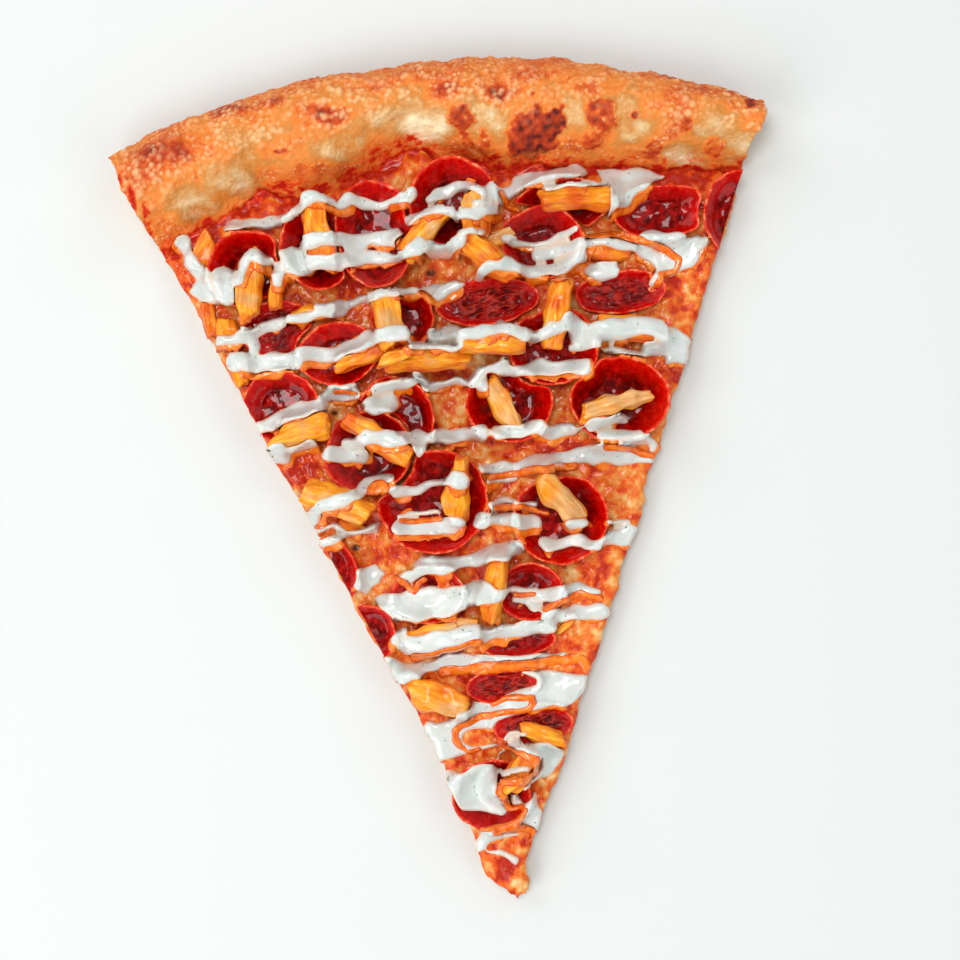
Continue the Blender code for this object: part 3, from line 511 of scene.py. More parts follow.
# Melted mozzarella: greasy, a little translucent, pinkish tan with orange oil in its hollows.
melted, tree, shader = surface("melted_mozzarella", Roughness=0.34, IOR=1.45, Specular_IOR_Level=0.15,
                               Subsurface_Weight=0.05, Subsurface_Scale=0.001, Coat_Weight=0.3,
                               Coat_Roughness=0.05)
shader.inputs["Subsurface Radius"].default_value = (1.0, 0.45, 0.25)
point = add(tree, "TexCoord").outputs["Object"]
brown = add(tree, "Attribute", attribute_name="brown").outputs["Fac"]
stain = add(tree, "Attribute", attribute_name="stain").outputs["Fac"]
mottle = add(tree, "TexNoise", {"Vector": point, "Scale": 1 / (1.5 * MM), "Detail": 5.0, "Roughness": 0.66})
shift = add(tree, "Math", {0: mottle.outputs["Fac"], 1: 1.1, 2: -0.55}, operation="MULTIPLY_ADD")
amount = add(tree, "Math", {0: stain, 1: shift.outputs[0]}, operation="ADD")
oily = add(tree, "ValToRGB", {"Fac": amount.outputs[0]}, stops=(
    (0.0, "#F2C484"), (0.28, "#EC9C4C"), (0.5, "#E87828"), (0.74, "#E05014"), (1.0, "#B82408")))
patch = add(tree, "MapRange", {"Value": brown, "From Min": 0.35, "From Max": 1.1, "To Max": 0.8}, clamp=True)
toasted = add(tree, "Mix", {"Factor": patch.outputs[0], "A": oily.outputs["Color"], "B": linear("#A4501E")},
              data_type="RGBA")
charred = add(tree, "MapRange", {"Value": brown, "From Min": 0.95, "From Max": 1.5, "To Max": 0.85},
              clamp=True)
black = add(tree, "Mix", {"Factor": charred.outputs[0], "A": toasted.outputs["Result"],
                          "B": linear("#2E120A")}, data_type="RGBA")
wrinkled = add(tree, "Bump", {"Height": mottle.outputs["Fac"], "Strength": 0.8, "Distance": 0.5 * MM})
tree.links.new(black.outputs["Result"], shader.inputs["Base Color"])
tree.links.new(wrinkled.outputs["Normal"], shader.inputs["Normal"])
finish_piece("melted_cheese", bm, melted, "cheese", "cheese")

# Pepperoni: slices of cured pork sausage about 1.5 mm thick. In the oven the casing side shrinks
# and each slice curls into a cup with a dry rim, which holds its own dark red oil. The rim's bright
# colour is partly a painted highlight, and the floor's dark red is partly painted shade.

CUP_GAP = 0.7            # between the outlines of cups that press on each other
FULL_WALL = 4.5          # radius below which a squeezed cup's wall gets thinner
CUP_SEGMENTS = 84
CUP_RINGS = 24
FLAT_RINGS = 64          # more for a slice that stayed flat, as its folds are fine
FLAT_BELOW = 4.0         # a slice less high than this stayed flat
CRINKLE = 0.38           # how high the folds stand on the slices that stayed flat
FLARE = 2.6              # how much further the wall turned to the slice's edge slopes in

# Middle x and y, half widths along x and y, height, lean in degrees.
# Where two overlap, the one further down the list lies on top and the other gives way.
PEPPERONI = (
    (-61, 198, 12, 12, 6.5, 0), (-39.8, 202.7, 11.3, 13.3, 6.9, 0), (-21.9, 204.4, 12.4, 16.5, 6.9, -4),
    (34, 208, 14.5, 8.5, 5.2, 6), (1.2, 212, 13.1, 13.1, 7.3, 0), (27, 197, 12.4, 11.2, 6.9, 0),
    (64, 202.3, 15, 8, 4.7, 0), (88.5, 199, 13, 14, 5.6, 0), (-54.5, 179.5, 11, 9, 3, 0),
    (-17, 178.5, 10, 9, 5.2, 0), (9, 181.3, 16, 7.2, 2.2, 0), (49, 180, 13.8, 6.8, 2.8, 0),
    (-37, 170.3, 12.4, 9.8, 5.6, 0), (-56, 156, 12, 11, 4.7, 0), (-22, 148, 11.8, 14, 6.5, 0),
    (12.3, 150.5, 13.3, 12.4, 6.9, 0), (45, 147.8, 15.4, 12.8, 6.9, 0), (27, 166, 14.2, 11.4, 6, 5),
    (-13.3, 123.8, 16.7, 15.8, 7.3, 4), (-31, 139.9, 13.2, 12.7, 7.3, 0), (24, 114, 14.3, 13.5, 7.3, 0),
    (-46.5, 105, 8.5, 11, 3.9, 0), (-36.5, 86, 8, 9, 4.3, 0), (-18, 95.5, 11.5, 8.4, 3.9, 0),
    (12.5, 93.5, 10.2, 8.8, 4.7, 0), (7.5, 79, 12, 5, 3.4, 0), (1.5, 66.2, 11.2, 5.6, 1.9, 0),
    (9.5, 53.5, 12.2, 6, 1.9, 0), (-5, 34, 12.2, 11, 5.6, 0))


def pole(cup, others):
    """A middle to draw a cup's outline from, moved out from under its neighbours."""
    x, y = cup[:2]
    for ox, oy, ohx, ohy in (other[:4] for other in others):
        px, py = (x - ox) / ohx, (y - oy) / ohy
        out = hypot(px, py)
        if out < 1.25:
            x, y = ox + px / out * 1.25 * ohx, oy + py / out * 1.25 * ohy
    return x, y


def crossings(x, y, dx, dy, oval, grow):
    """Distances at which a line from a point enters and leaves an oval, if it meets it."""
    ox, oy, ohx, ohy = oval[:4]
    ohx, ohy = ohx + grow, ohy + grow
    px, py = (x - ox) / ohx, (y - oy) / ohy
    qx, qy = dx / ohx, dy / ohy
    a, b, c = qx * qx + qy * qy, px * qx + py * qy, px * px + py * py - 1.0
    inside = b * b - a * c
    return None if inside < 0.0 else ((-b - inside ** 0.5) / a, (-b + inside ** 0.5) / a)


def room(cup, others, x, y, angle):
    """Distance from the pole to the cup's edge, and how much of it its neighbours leave."""
    dx, dy = cos(angle), sin(angle)
    own = crossings(x, y, dx, dy, cup, 0.0)[1]
    free = own
    for other in others:
        hit = crossings(x, y, dx, dy, other, CUP_GAP)
        if hit and hit[0] > 0.0:
            free = min(free, hit[0])
    return free, free / own


CUP_SECTION = (          # part of the radius, part of the height, inset and lift, from below to the inside
    (0.0, 0.0, 0.0, 0.0), (0.30, 0.0, 0.0, 0.0), (0.58, 0.0, 0.0, 0.0), (0.78, 0.08, 0.0, 0.0),
    (0.90, 0.30, 0.0, 0.0), (0.96, 0.62, 0.0, 0.0), (0.99, 0.92, 0.0, 0.0), (1.0, 1.0, 0.22, 0.12),
    (1.0, 1.0, 0.52, 0.12), (0.985, 0.92, 0.85, 0.0), (0.925, 0.62, 1.0, 0.1), (0.84, 0.34, 1.1, 0.5),
    (0.70, 0.10, 0.7, 1.1), (0.52, 0.0, 0.0, 1.5), (0.28, 0.0, 0.0, 1.55), (0.0, 0.0, 0.0, 1.6))


def make_cup(index):
    cup = PEPPERONI[index]
    over = [other for other in PEPPERONI[index + 1:] if hypot(other[0] - cup[0], other[1] - cup[1]) < 40]
    x, y = pole(cup, over)
    outward = Vector((x, y - 128.0, 0.0))
    flare = FLARE * min(outward.length / 50.0, 1.0) * min(cup[4] / 6.0, 1.0)
    outward.normalize()
    outline = []
    for k in range(CUP_SEGMENTS):
        angle = 2.0 * pi * k / CUP_SEGMENTS
        free, share = room(cup, over, x, y, angle)
        turn = Vector((cos(angle), sin(angle), 0.0))
        lot = turn + Vector((0.0, 0.0, 2.9 * index))
        free *= 1.0 + 0.05 * grain(lot, 0.8, 50.0) + 0.02 * grain(lot, 0.3, 51.0)
        tall = cup[4] * (0.45 + 0.55 * smooth((share - 0.55) / 0.4))
        tall *= 1.0 + 0.13 * wander(sin(angle), 1.1, 40.0 + index) + 0.07 * grain(lot, 0.35, 52.0)
        outline.append((turn, free, tall))
    reaches = [free for _, free, _ in outline]
    outline = [(turn, (reaches[k - 1] + reaches[k] + reaches[(k + 1) % CUP_SEGMENTS]) / 3.0, tall)
               for k, (turn, _, tall) in enumerate(outline)]

    def place(vert, column, row):
        turn, free, tall = outline[round(column * CUP_SEGMENTS) % CUP_SEGMENTS]
        part, level, inset, lift = curve_through(CUP_SECTION, row)
        inset += flare * (0.5 + 0.5 * turn.dot(outward)) * smooth(inset / 0.6) * (1.0 - level)
        reach = max(free * part - inset * min(1.0, free / FULL_WALL), 0.0)
        p = Vector((turn.x * reach, turn.y * reach, tall * level + lift))
        within = smooth((row - 0.5) / 0.1)
        q = p + Vector((17.0 * index, 0.0, 0.0))
        floor = within * (1.0 - level)
        folds = Vector((0.35 * p.x + 0.2 * p.y, p.y - 0.3 * p.x, 17.0 * index))
        crinkle = smooth((FLAT_BELOW - cup[4]) / 2.0) * (1.0 - abs(grain(folds, 1.25, 57.0)) * 2.2)
        p.z += floor * (0.45 * grain(q, 5.0, 53.0) + 0.06 * grain(q, 1.7, 54.0) + CRINKLE * crinkle)
        wall = smooth(level / 0.3) * (0.16 * grain(q, 3.0, 55.0) + 0.07 * grain(q, 1.2, 56.0))
        p += Vector((turn.x, turn.y, 0.0)) * wall
        vert.co = p
        vert[inside_layer] = within
        vert[height_layer] = level * (1.0 if row > 0.0 else 0.0)
        vert[crinkle_layer] = max(crinkle * within, 0.0)
    bm = bmesh.new()
    inside_layer = bm.verts.layers.float.new("inside")
    height_layer = bm.verts.layers.float.new("height")
    crinkle_layer = bm.verts.layers.float.new("crinkle")
    panel(bm, CUP_SEGMENTS, FLAT_RINGS if cup[4] < FLAT_BELOW else CUP_RINGS, place)
    close(bm)
    return bm, x, y


def trim_to_cuts(bm, x, y):
    """Cut off what the pizza wheel took from a slice of sausage that crossed the edge."""
    for side in (-1.0, 1.0):
        normal = Vector((side * cos(HALF_ANGLE), -sin(HALF_ANGLE), 0.0))
        plane = Vector((-x, -y, 0.0)) + normal * -0.2
        bmesh.ops.bisect_plane(bm, geom=bm.verts[:] + bm.edges[:] + bm.faces[:], dist=0.0005,
                               plane_co=plane, plane_no=normal, clear_outer=True)
        bmesh.ops.holes_fill(bm, edges=[e for e in bm.edges if e.is_boundary])


# Cured pork: translucent dark red meat with paler fat, wet with its own oil. Its colour is painted
# darker towards each cup's floor, partly as shade, paler at the rim, partly as a highlight, and
# paler on the crests of the folds as a highlight.
sausage, tree, shader = surface("cured_sausage", IOR=1.42, Subsurface_Weight=0.1, Subsurface_Scale=0.0012,
                                Specular_IOR_Level=0.06, Coat_Weight=0.34, Coat_Roughness=0.03)
shader.inputs["Subsurface Radius"].default_value = (1.0, 0.2, 0.12)
point = add(tree, "TexCoord").outputs["Object"]
inside = add(tree, "Attribute", attribute_name="inside").outputs["Fac"]
height = add(tree, "Attribute", attribute_name="height").outputs["Fac"]
mince = add(tree, "TexNoise", {"Vector": point, "Scale": 1 / (2.4 * MM), "Detail": 6.0, "Roughness": 0.65})
fat = add(tree, "TexVoronoi", {"Vector": point, "Scale": 1 / (1.7 * MM), "Randomness": 1.0})
meat_and_shade = add(tree, "ValToRGB", {"Fac": mince.outputs["Fac"]}, stops=(
    (0.3, "#380000"), (0.47, "#6C0100"), (0.62, "#A00502"), (0.8, "#C8300C")))
# On the slices that stayed flat, the crests of the folds are painted a lighter red (#D03C28): a painted
# highlight.
crinkle = add(tree, "Attribute", attribute_name="crinkle").outputs["Fac"]
ridge_highlight = add(tree, "MapRange", {"Value": crinkle, "From Min": 0.3, "From Max": 1.0, "To Max": 0.75},
            clamp=True)
meat_and_shade = add(tree, "Mix", {"Factor": ridge_highlight.outputs[0], "A": meat_and_shade.outputs["Color"], "B": linear("#D03C28")},
           data_type="RGBA")
casing = add(tree, "ValToRGB", {"Fac": mince.outputs["Fac"]}, stops=(
    (0.3, "#A40000"), (0.5, "#C20200"), (0.75, "#DE1606")))
# Up the wall the colour runs from the dark meat of the floor to the casing's brighter red: partly the oil
# pooled on the floor, partly painted shade in the cup's deep.
edge = add(tree, "MapRange", {"Value": height, "From Min": 0.05, "From Max": 0.85}, clamp=True)
wall = add(tree, "Mix", {"Factor": edge.outputs[0], "A": meat_and_shade.outputs["Result"],
                         "B": casing.outputs["Color"]}, data_type="RGBA")
shell = add(tree, "Mix", {"Factor": inside, "A": casing.outputs["Color"], "B": wall.outputs["Result"]},
            data_type="RGBA")
# The rim is painted a pale pinkish orange: partly the dried edge of the slice, partly a painted highlight.
crisp_rim_and_highlight = add(tree, "MapRange", {"Value": height, "From Min": 0.93, "From Max": 1.0}, clamp=True)
dried_rim_and_highlight = add(tree, "ValToRGB", {"Fac": mince.outputs["Fac"]}, stops=(
    (0.4, "#D41408"), (0.54, "#EE4E26"), (0.68, "#FCA878")))
rimmed = add(tree, "Mix", {"Factor": crisp_rim_and_highlight.outputs[0], "A": shell.outputs["Result"],
                           "B": dried_rim_and_highlight.outputs["Color"]}, data_type="RGBA")
specks = add(tree, "MapRange", {"Value": fat.outputs["Distance"], "From Min": 0.28, "From Max": 0.12,
                                "To Max": 0.12}, clamp=True)
fatty = add(tree, "Mix", {"Factor": specks.outputs[0], "A": rimmed.outputs["Result"],
                          "B": linear("#DC5A3C")}, data_type="RGBA")
wetness = add(tree, "MapRange", {"Value": mince.outputs["Fac"], "From Min": 0.35, "From Max": 0.7,
                                 "To Min": 0.12, "To Max": 0.42}, clamp=True)
ground = add(tree, "Bump", {"Height": mince.outputs["Fac"], "Strength": 0.4, "Distance": 0.3 * MM})
pooled = add(tree, "TexNoise", {"Vector": point, "Scale": 1 / (5.0 * MM), "Detail": 1.2, "Roughness": 0.4})
film = add(tree, "Math", {0: mince.outputs["Fac"], 1: crinkle, 2: pooled.outputs["Fac"]},
           operation="MULTIPLY_ADD")
oil = add(tree, "Bump", {"Height": film.outputs[0], "Strength": 0.8, "Distance": 1.0 * MM})
tree.links.new(fatty.outputs["Result"], shader.inputs["Base Color"])
tree.links.new(wetness.outputs[0], shader.inputs["Roughness"])
tree.links.new(ground.outputs["Normal"], shader.inputs["Normal"])
tree.links.new(oil.outputs["Normal"], shader.inputs["Coat Normal"])

for index, cup_row in enumerate(PEPPERONI):
    node = f"pepperoni_{index + 1:02d}"
    bm, x, y = make_cup(index)
    if y > 60:
        trim_to_cuts(bm, x, y)
    bmesh.ops.rotate(bm, matrix=Matrix.Rotation(radians(cup_row[5]), 3, "X"), verts=bm.verts)
    lowest = min(v.co.z for v in bm.verts)
    rest = (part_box(node)[0].z - PIZZA_MIDDLE.z) / MM
    bmesh.ops.translate(bm, vec=(x, y, rest - lowest - 0.25), verts=bm.verts)
    bmesh.ops.recalc_face_normals(bm, faces=bm.faces)
    finish_piece(f"pepperoni_cup_{index + 1:02d}", bm, sausage, "pepperoni", node)

# Pineapple: canned chunks, wedges cut from a ring so that the fibres run along them. They were
# baked on the pizza, so they are wet, a little scorched at the corners and stained by oil.

# Middle x and y, length, width at the two ends, height, turn in degrees, and how stained it is.
PINEAPPLE = (
    (-44, 182.6, 13, 5, 5, 3.4, 0, 0.5), (12, 50.5, 14, 6.5, 6.5, 4.3, -20, 0.5),
    (-69, 180, 9.5, 6.5, 7, 4.3, 95, 0.8), (-67.3, 168.5, 9, 5.5, 6.5, 4.3, 100, 0.3),
    (-61, 192.5, 20, 8, 9.5, 5.2, 88, 0.2), (-38.6, 206, 22, 9.5, 7.5, 5.2, 92, 0.6),
    (8, 206.5, 15, 9, 8, 5.2, 96, 0.4), (-7.5, 203, 19, 8, 6.5, 5.2, 43, 0.2),
    (9.5, 193.5, 21, 9, 8, 5.2, -40, 0.35), (38.5, 208.6, 21, 7.5, 8, 5.2, -5, 0.6),
    (47, 192.5, 14, 7, 6, 4.3, -10, 0.7), (-29, 168.6, 19, 4.5, 6, 4.3, 15, 0.6),
    (-20.2, 178, 16.5, 9.5, 9.5, 6, 91, 0.05), (-9.5, 165.2, 25, 7, 6, 5.2, -6, 0.35),
    (9.5, 168.6, 19.5, 8.5, 9, 5.2, -5, 0.3), (29.3, 174.5, 20.5, 8, 8, 6, 74, 0.3),
    (50.5, 169, 20, 7, 8, 4.3, -12, 0.5), (-50, 148.2, 17, 8, 9.5, 5.2, 8, 0.15),
    (-27.5, 143.6, 24, 7, 8, 5.2, -38, 0.55), (-5.6, 126.6, 20, 9.5, 5.5, 5.6, 72, 0.35),
    (10, 150, 16, 6.5, 6.5, 5.2, -68, -0.2), (44, 146.6, 22, 7.5, 4, 5.2, 9, -0.55),
    (24, 120, 19, 8.5, 8, 6, -48, -0.35), (-42, 126, 21, 10, 8.5, 5.2, -30, 0.1),
    (2, 95, 20, 7.5, 7, 5.2, 74, 0.4), (-14.8, 83, 22, 9.5, 9, 5.2, 5, 0.45),
    (-18.5, 64.6, 19.5, 11, 9, 5.2, -25, 0.4), (4, 41, 14, 6, 8, 4.7, 55, 0.5))
# Small pieces broken off the chunks, in the same order of sizes.
BITS = (
    (-74, 205.5, 10, 8, 7, 2.6, 60, 0.9), (-74.5, 184.5, 11, 5, 4.5, 3.4, 95, 0.8),
    (-53.5, 190, 10, 4.5, 4, 3.2, 80, 0.5), (22, 82, 7.5, 3.5, 3, 2.4, 35, 0.4),
    (0.5, 37.5, 8, 6, 4, 3, 30, 0.4), (-20, 166.5, 9, 4, 4, 3, 10, 0.5),
    (-38, 118, 9, 4, 3, 2.4, -20, 0.6),
    (15, 200, 8, 5, 4, 2.6, 20, -0.4), (-1, 172, 7, 4, 3, 2.4, -10, 0.6))
CHUNK_CUTS = 3
SLANT = 0.9              # how far from square the ends may be cut
WEDGE = 1.1              # how much higher one long side may be than the other
SKY = 60.0               # higher than any piece: where lines are dropped from to find what lies below
DOWN = Vector((0.0, 0.0, -1.0))
LEANS = [(radians(a), radians(b), 0.0) for a in range(-18, 19, 6) for b in range(-18, 19, 6)]


def rough_chunk(index, length, near, far, height):
    """The wedge as it leaves the knife, with its grain along X."""
    bm = bmesh.new()
    bmesh.ops.create_cube(bm, size=1.0)
    along = [e for e in bm.edges if abs((e.verts[0].co - e.verts[1].co).x) > 0.5]
    bmesh.ops.subdivide_edges(bm, edges=along, cuts=CHUNK_CUTS, use_grid_fill=True)
    across = [e for e in bm.edges if abs((e.verts[0].co - e.verts[1].co).y) > 0.5]
    bmesh.ops.subdivide_edges(bm, edges=across, cuts=1, use_grid_fill=True)
    for vert in bm.verts:
        u, v, w = vert.co
        width = near + (far - near) * (u + 0.5)
        end = abs(u) * 2.0
        narrow = 1.0 - 0.14 * end ** 3 - (0.2 if w > 0 else 0.0)
        crown = 0.10 * height * (1.0 - abs(v) * 2.0) if w > 0 else 0.0
        uneven = 0.12 * noise.noise(Vector((u * 3.0, v * 3.0 + w, index * 2.9)))
        slant = SLANT * v * width * noise.noise(Vector((3.1 * index, 2.0 if u > 0.0 else 5.0, 0.7)))
        wedge = 1.0 + WEDGE * v * noise.noise(Vector((4.3 * index, 0.4, 0.6))) if w > 0 else 1.0
        vert.co = (length * (u + 0.4 * uneven) + slant * end,
                   width * (v * narrow + uneven) + 0.05 * length * (0.25 - u * u),
                   height * (w * wedge * (1.0 - 0.12 * end ** 3) + uneven) + crown)
    return bm


def fibrous_chunk(bm, index, length, height, stain):
    """Round the wedge off and raise its fibres, with the grain kept for the material."""
    bm.normal_update()
    crease = bm.edges.layers.float.new("crease_edge")
    for edge in bm.edges:
        edge[crease] = 0.4 if edge.calc_face_angle(0.0) > radians(45) else 0.0
    mesh = bpy.data.meshes.new("wedge")
    bm.to_mesh(mesh)
    bm.free()
    wedge = bpy.data.objects.new("wedge", mesh)
    bpy.context.scene.collection.objects.link(wedge)
    rounding = wedge.modifiers.new("rounding", "SUBSURF")
    rounding.levels = rounding.render_levels = 3
    rounded = wedge.evaluated_get(bpy.context.evaluated_depsgraph_get())
    bm = bmesh.new()
    bm.from_mesh(rounded.to_mesh())
    bpy.data.objects.remove(wedge)
    bpy.data.meshes.remove(mesh)
    grain_layer = bm.verts.layers.float_vector.new("grain")
    stain_layer = bm.verts.layers.float.new("stain")
    bm.normal_update()
    for vert in bm.verts:
        p = vert.co
        seed = Vector((0.0, 5.0 * index, 0.0))
        long = Vector((p.x * 0.1, p.y, p.z)) + seed
        vert[grain_layer] = p + seed
        low = smooth(0.5 - p.z / height)
        tips = smooth(abs(p.x) / length * 8.0 - 3.0) * (0.5 + 0.5 * grain(p + seed, 5.0, 59.0))
        vert[stain_layer] = stain - 0.25 + 0.7 * grain(p + seed, 7.0, 60.0) + 0.55 * low + 0.5 * tips
        rise = 0.08 * grain(long, 1.5, 61.0) + 0.04 * grain(long, 0.6, 62.0)
        rise += 0.8 * grain(p + seed, 5.0, 63.0)
        torn = abs(vert.normal.x) ** 3 * 0.4 * grain(Vector((0.0, p.y, p.z)) + seed, 1.1, 64.0)
        vert.co = p + vert.normal * rise + Vector((torn * (1 if p.x > 0 else -1), 0.0, 0.0))
    return bm


def resting_pose(node, bm, x, y):
    """The lean and height at which a chunk lies in its solid, found by trying each lean."""
    corners = [(Vector(v.co) - PIZZA_MIDDLE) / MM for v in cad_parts[node].data.vertices]
    solid = KDTree(len(corners))
    for k, corner in enumerate(corners):
        solid.insert(corner, k)
    solid.balance()
    lowest = min(corner.z for corner in corners)
    best = None
    for lean in LEANS:
        turn = Euler(lean).to_matrix()
        points = [turn @ v.co for v in bm.verts]
        shift = Vector((x, y, lowest - min(p.z for p in points)))
        misfit = sum(solid.find(p + shift)[2] for p in points)
        if best is None or misfit < best[0]:
            best = misfit, Matrix.Translation(shift) @ turn.to_4x4()
    return best[1]


# Pineapple flesh: juicy, translucent yellow fibres, orange where oil has soaked in. Its sides are
# painted a deeper orange, partly oil and partly painted shade.
flesh, tree, shader = surface("pineapple_flesh", Roughness=0.32, IOR=1.36, Subsurface_Weight=0.3,
                              Specular_IOR_Level=0.2, Subsurface_Scale=0.0025, Coat_Weight=0.3,
                              Coat_Roughness=0.06)
shader.inputs["Subsurface Radius"].default_value = (1.0, 0.5, 0.15)
grain_at = add(tree, "Attribute", attribute_name="grain").outputs["Vector"]
stain = add(tree, "Attribute", attribute_name="stain").outputs["Fac"]
drawn = add(tree, "Mapping", {"Vector": grain_at, "Scale": (0.16, 1.0, 1.0)})
fibre = add(tree, "TexNoise", {"Vector": drawn.outputs[0], "Scale": 0.9, "Detail": 6.0, "Roughness": 0.68})
blush = add(tree, "TexNoise", {"Vector": grain_at, "Scale": 0.22, "Detail": 3.0})
yellow = add(tree, "ValToRGB", {"Fac": fibre.outputs["Fac"]}, stops=(
    (0.3, "#DE6E0E"), (0.44, "#F08C18"), (0.56, "#FCA826"), (0.72, "#FFCE58")))
orange = add(tree, "ValToRGB", {"Fac": fibre.outputs["Fac"]}, stops=(
    (0.3, "#C03A08"), (0.5, "#DE5E16"), (0.72, "#F08832")))
soak = add(tree, "Math", {0: blush.outputs["Fac"], 1: 1.2, 2: -0.6}, operation="MULTIPLY_ADD")
# Faces that turn away from the top are painted more orange: partly oil soaked in, partly painted shade.
facing = add(tree, "SeparateXYZ", {"Vector": add(tree, "NewGeometry").outputs["Normal"]})
side_shade = add(tree, "MapRange", {"Value": facing.outputs["Z"], "From Min": 0.75, "From Max": 0.0,
                               "To Max": 0.4}, clamp=True)
oil_and_side_shade = add(tree, "Math", {0: side_shade.outputs[0], 1: soak.outputs[0]}, operation="ADD")
soaked = add(tree, "Math", {0: stain, 1: oil_and_side_shade.outputs[0]}, operation="ADD")
share = add(tree, "MapRange", {"Value": soaked.outputs[0], "From Min": 0.15, "From Max": 0.9}, clamp=True)
juicy = add(tree, "Mix", {"Factor": share.outputs[0], "A": yellow.outputs["Color"],
                          "B": orange.outputs["Color"]}, data_type="RGBA")
faded = add(tree, "MapRange", {"Value": soaked.outputs[0], "From Min": -0.05, "From Max": -0.6,
                               "To Max": 0.85}, clamp=True)
dry = add(tree, "ValToRGB", {"Fac": fibre.outputs["Fac"]}, stops=((0.3, "#CC8A44"), (0.7, "#ECC28A")))
juicy = add(tree, "Mix", {"Factor": faded.outputs[0], "A": juicy.outputs["Result"],
                          "B": dry.outputs["Color"]}, data_type="RGBA")
ridged = add(tree, "Bump", {"Height": fibre.outputs["Fac"], "Strength": 0.4, "Distance": 0.3 * MM})
tree.links.new(juicy.outputs["Result"], shader.inputs["Base Color"])
tree.links.new(ridged.outputs["Normal"], shader.inputs["Normal"])

for index, (x, y, length, near, far, height, turn, stained) in enumerate(PINEAPPLE):
    node = f"pineapple_{index + 1:02d}"
    spin = Matrix.Rotation(radians(turn), 4, "Z")
    rough = rough_chunk(index, length, near, far, height)
    turned = rough.copy()
    bmesh.ops.transform(turned, matrix=spin, verts=turned.verts)
    pose = resting_pose(node, turned, x, y)
    turned.free()
    chunk = fibrous_chunk(rough, index, length, height, stained)
    bmesh.ops.transform(chunk, matrix=pose @ spin, verts=chunk.verts)
    finish_piece(f"pineapple_chunk_{index + 1:02d}", chunk, flesh, "pineapple", node)


def top_at(x, y):
    """The height of the highest finished piece at a point."""
    tops = [0.0]
    for tree, low, high in laid:
        if low[0] < x < high[0] and low[1] < y < high[1]:
            hit = tree.ray_cast(Vector((x, y, SKY)), DOWN)[0]
            tops.append(hit.z if hit else 0.0)
    return max(tops)


for index, (x, y, length, near, far, height, turn, stained) in enumerate(BITS, len(PINEAPPLE)):
    bit = fibrous_chunk(rough_chunk(index, length, near, far, height), index, length, height, stained)
    rest = top_at(x, y) + 0.35 * height
    lie = Euler((0.12 * sin(index * 2.0), 0.12 * cos(index * 3.0), radians(turn))).to_matrix().to_4x4()
    bmesh.ops.transform(bit, matrix=Matrix.Translation((x, y, rest)) @ lie, verts=bit.verts)
    finish_piece(f"pineapple_bit_{index - len(PINEAPPLE) + 1}", bit, flesh, "pineapple")

# Hot sauce edges: thin orange pepper sauce run over the slice from a narrow nozzle after baking.
# Most of it lies hidden under the dressing and shows as an orange edge close beside it.

GRID = 0.5
LEFT, RIGHT, NEAR, FAR = -106.0, 104.0, 2.0, 222.0
STEEPEST = 3.2           # the dressing hangs from a rim no steeper than this
LIP = 0.7                # how far a liquid may reach over the slice's edge
LIP_DROP = 2.4
SWELL = 0.25             # how far the dressing has spread since it was squeezed out
grid_x = np.arange(LEFT, RIGHT, GRID)
grid_y = np.arange(NEAR, FAR, GRID)


def heights(xs, ys):
    """The height of the highest finished piece under each point."""
    tops = np.zeros(len(xs))
    for tree, low, high in laid:
        under = np.nonzero((xs > low[0]) & (xs < high[0]) & (ys > low[1]) & (ys < high[1]))[0]
        for k in under:
            hit = tree.ray_cast(Vector((xs[k], ys[k], SKY)), DOWN)[0]
            if hit and hit.z > tops[k]:
                tops[k] = hit.z
    return tops


def widened(field):
    """Heights with every raised edge moved out by one step of the grid."""
    return np.max([np.roll(field, (dy, dx), (0, 1)) for dy in (-1, 0, 1) for dx in (-1, 0, 1)], axis=0)


def softened(field, times):
    for _ in range(times):
        for axis in (0, 1):
            field = (np.roll(field, 1, axis) + 2.0 * field + np.roll(field, -1, axis)) / 4.0
    return field


def draped(field):
    """The surface that a thick liquid would follow: no steep drops, and rounded corners."""
    for _ in range(14):
        for dy, dx in ((0, 1), (1, 0), (0, -1), (-1, 0), (1, 1), (-1, -1), (1, -1), (-1, 1)):
            field = np.maximum(field, np.roll(field, (dy, dx), (0, 1)) - STEEPEST * GRID * hypot(dy, dx))
    return softened(field, 7)


def stream_distance(xs, ys, stream):
    """How far each point lies outside a stream of varying width; inside it is negative."""
    width, *points = stream
    points = [(*p, width) if len(p) == 2 else p for p in points]
    best = np.full(xs.shape, 99.0)
    for (x0, y0, w0), (x1, y1, w1) in zip(points, points[1:]):
        length = max(hypot(x1 - x0, y1 - y0), 1e-6)
        t = np.clip(((xs - x0) * (x1 - x0) + (ys - y0) * (y1 - y0)) / length ** 2, 0.0, 1.0)
        away = np.hypot(xs - x0 - t * (x1 - x0), ys - y0 - t * (y1 - y0))
        best = np.minimum(best, away - (w0 + (w1 - w0) * t) / 2.0)
    return best


def pool_distance(xs, ys, corners):
    """How far each point lies outside a pool drawn by its corners; inside it is negative."""
    best, inside = np.full(xs.shape, 99.0), np.zeros(xs.shape, bool)
    for (x0, y0), (x1, y1) in zip(corners, corners[1:] + corners[:1]):
        t = np.clip(((xs - x0) * (x1 - x0) + (ys - y0) * (y1 - y0)) / hypot(x1 - x0, y1 - y0) ** 2, 0.0, 1.0)
        best = np.minimum(best, np.hypot(xs - x0 - t * (x1 - x0), ys - y0 - t * (y1 - y0)))
        if y0 != y1:
            inside ^= ((y0 > ys) != (y1 > ys)) & (xs < (x1 - x0) * (ys - y0) / (y1 - y0) + x0)
    return np.where(inside, -best, best)


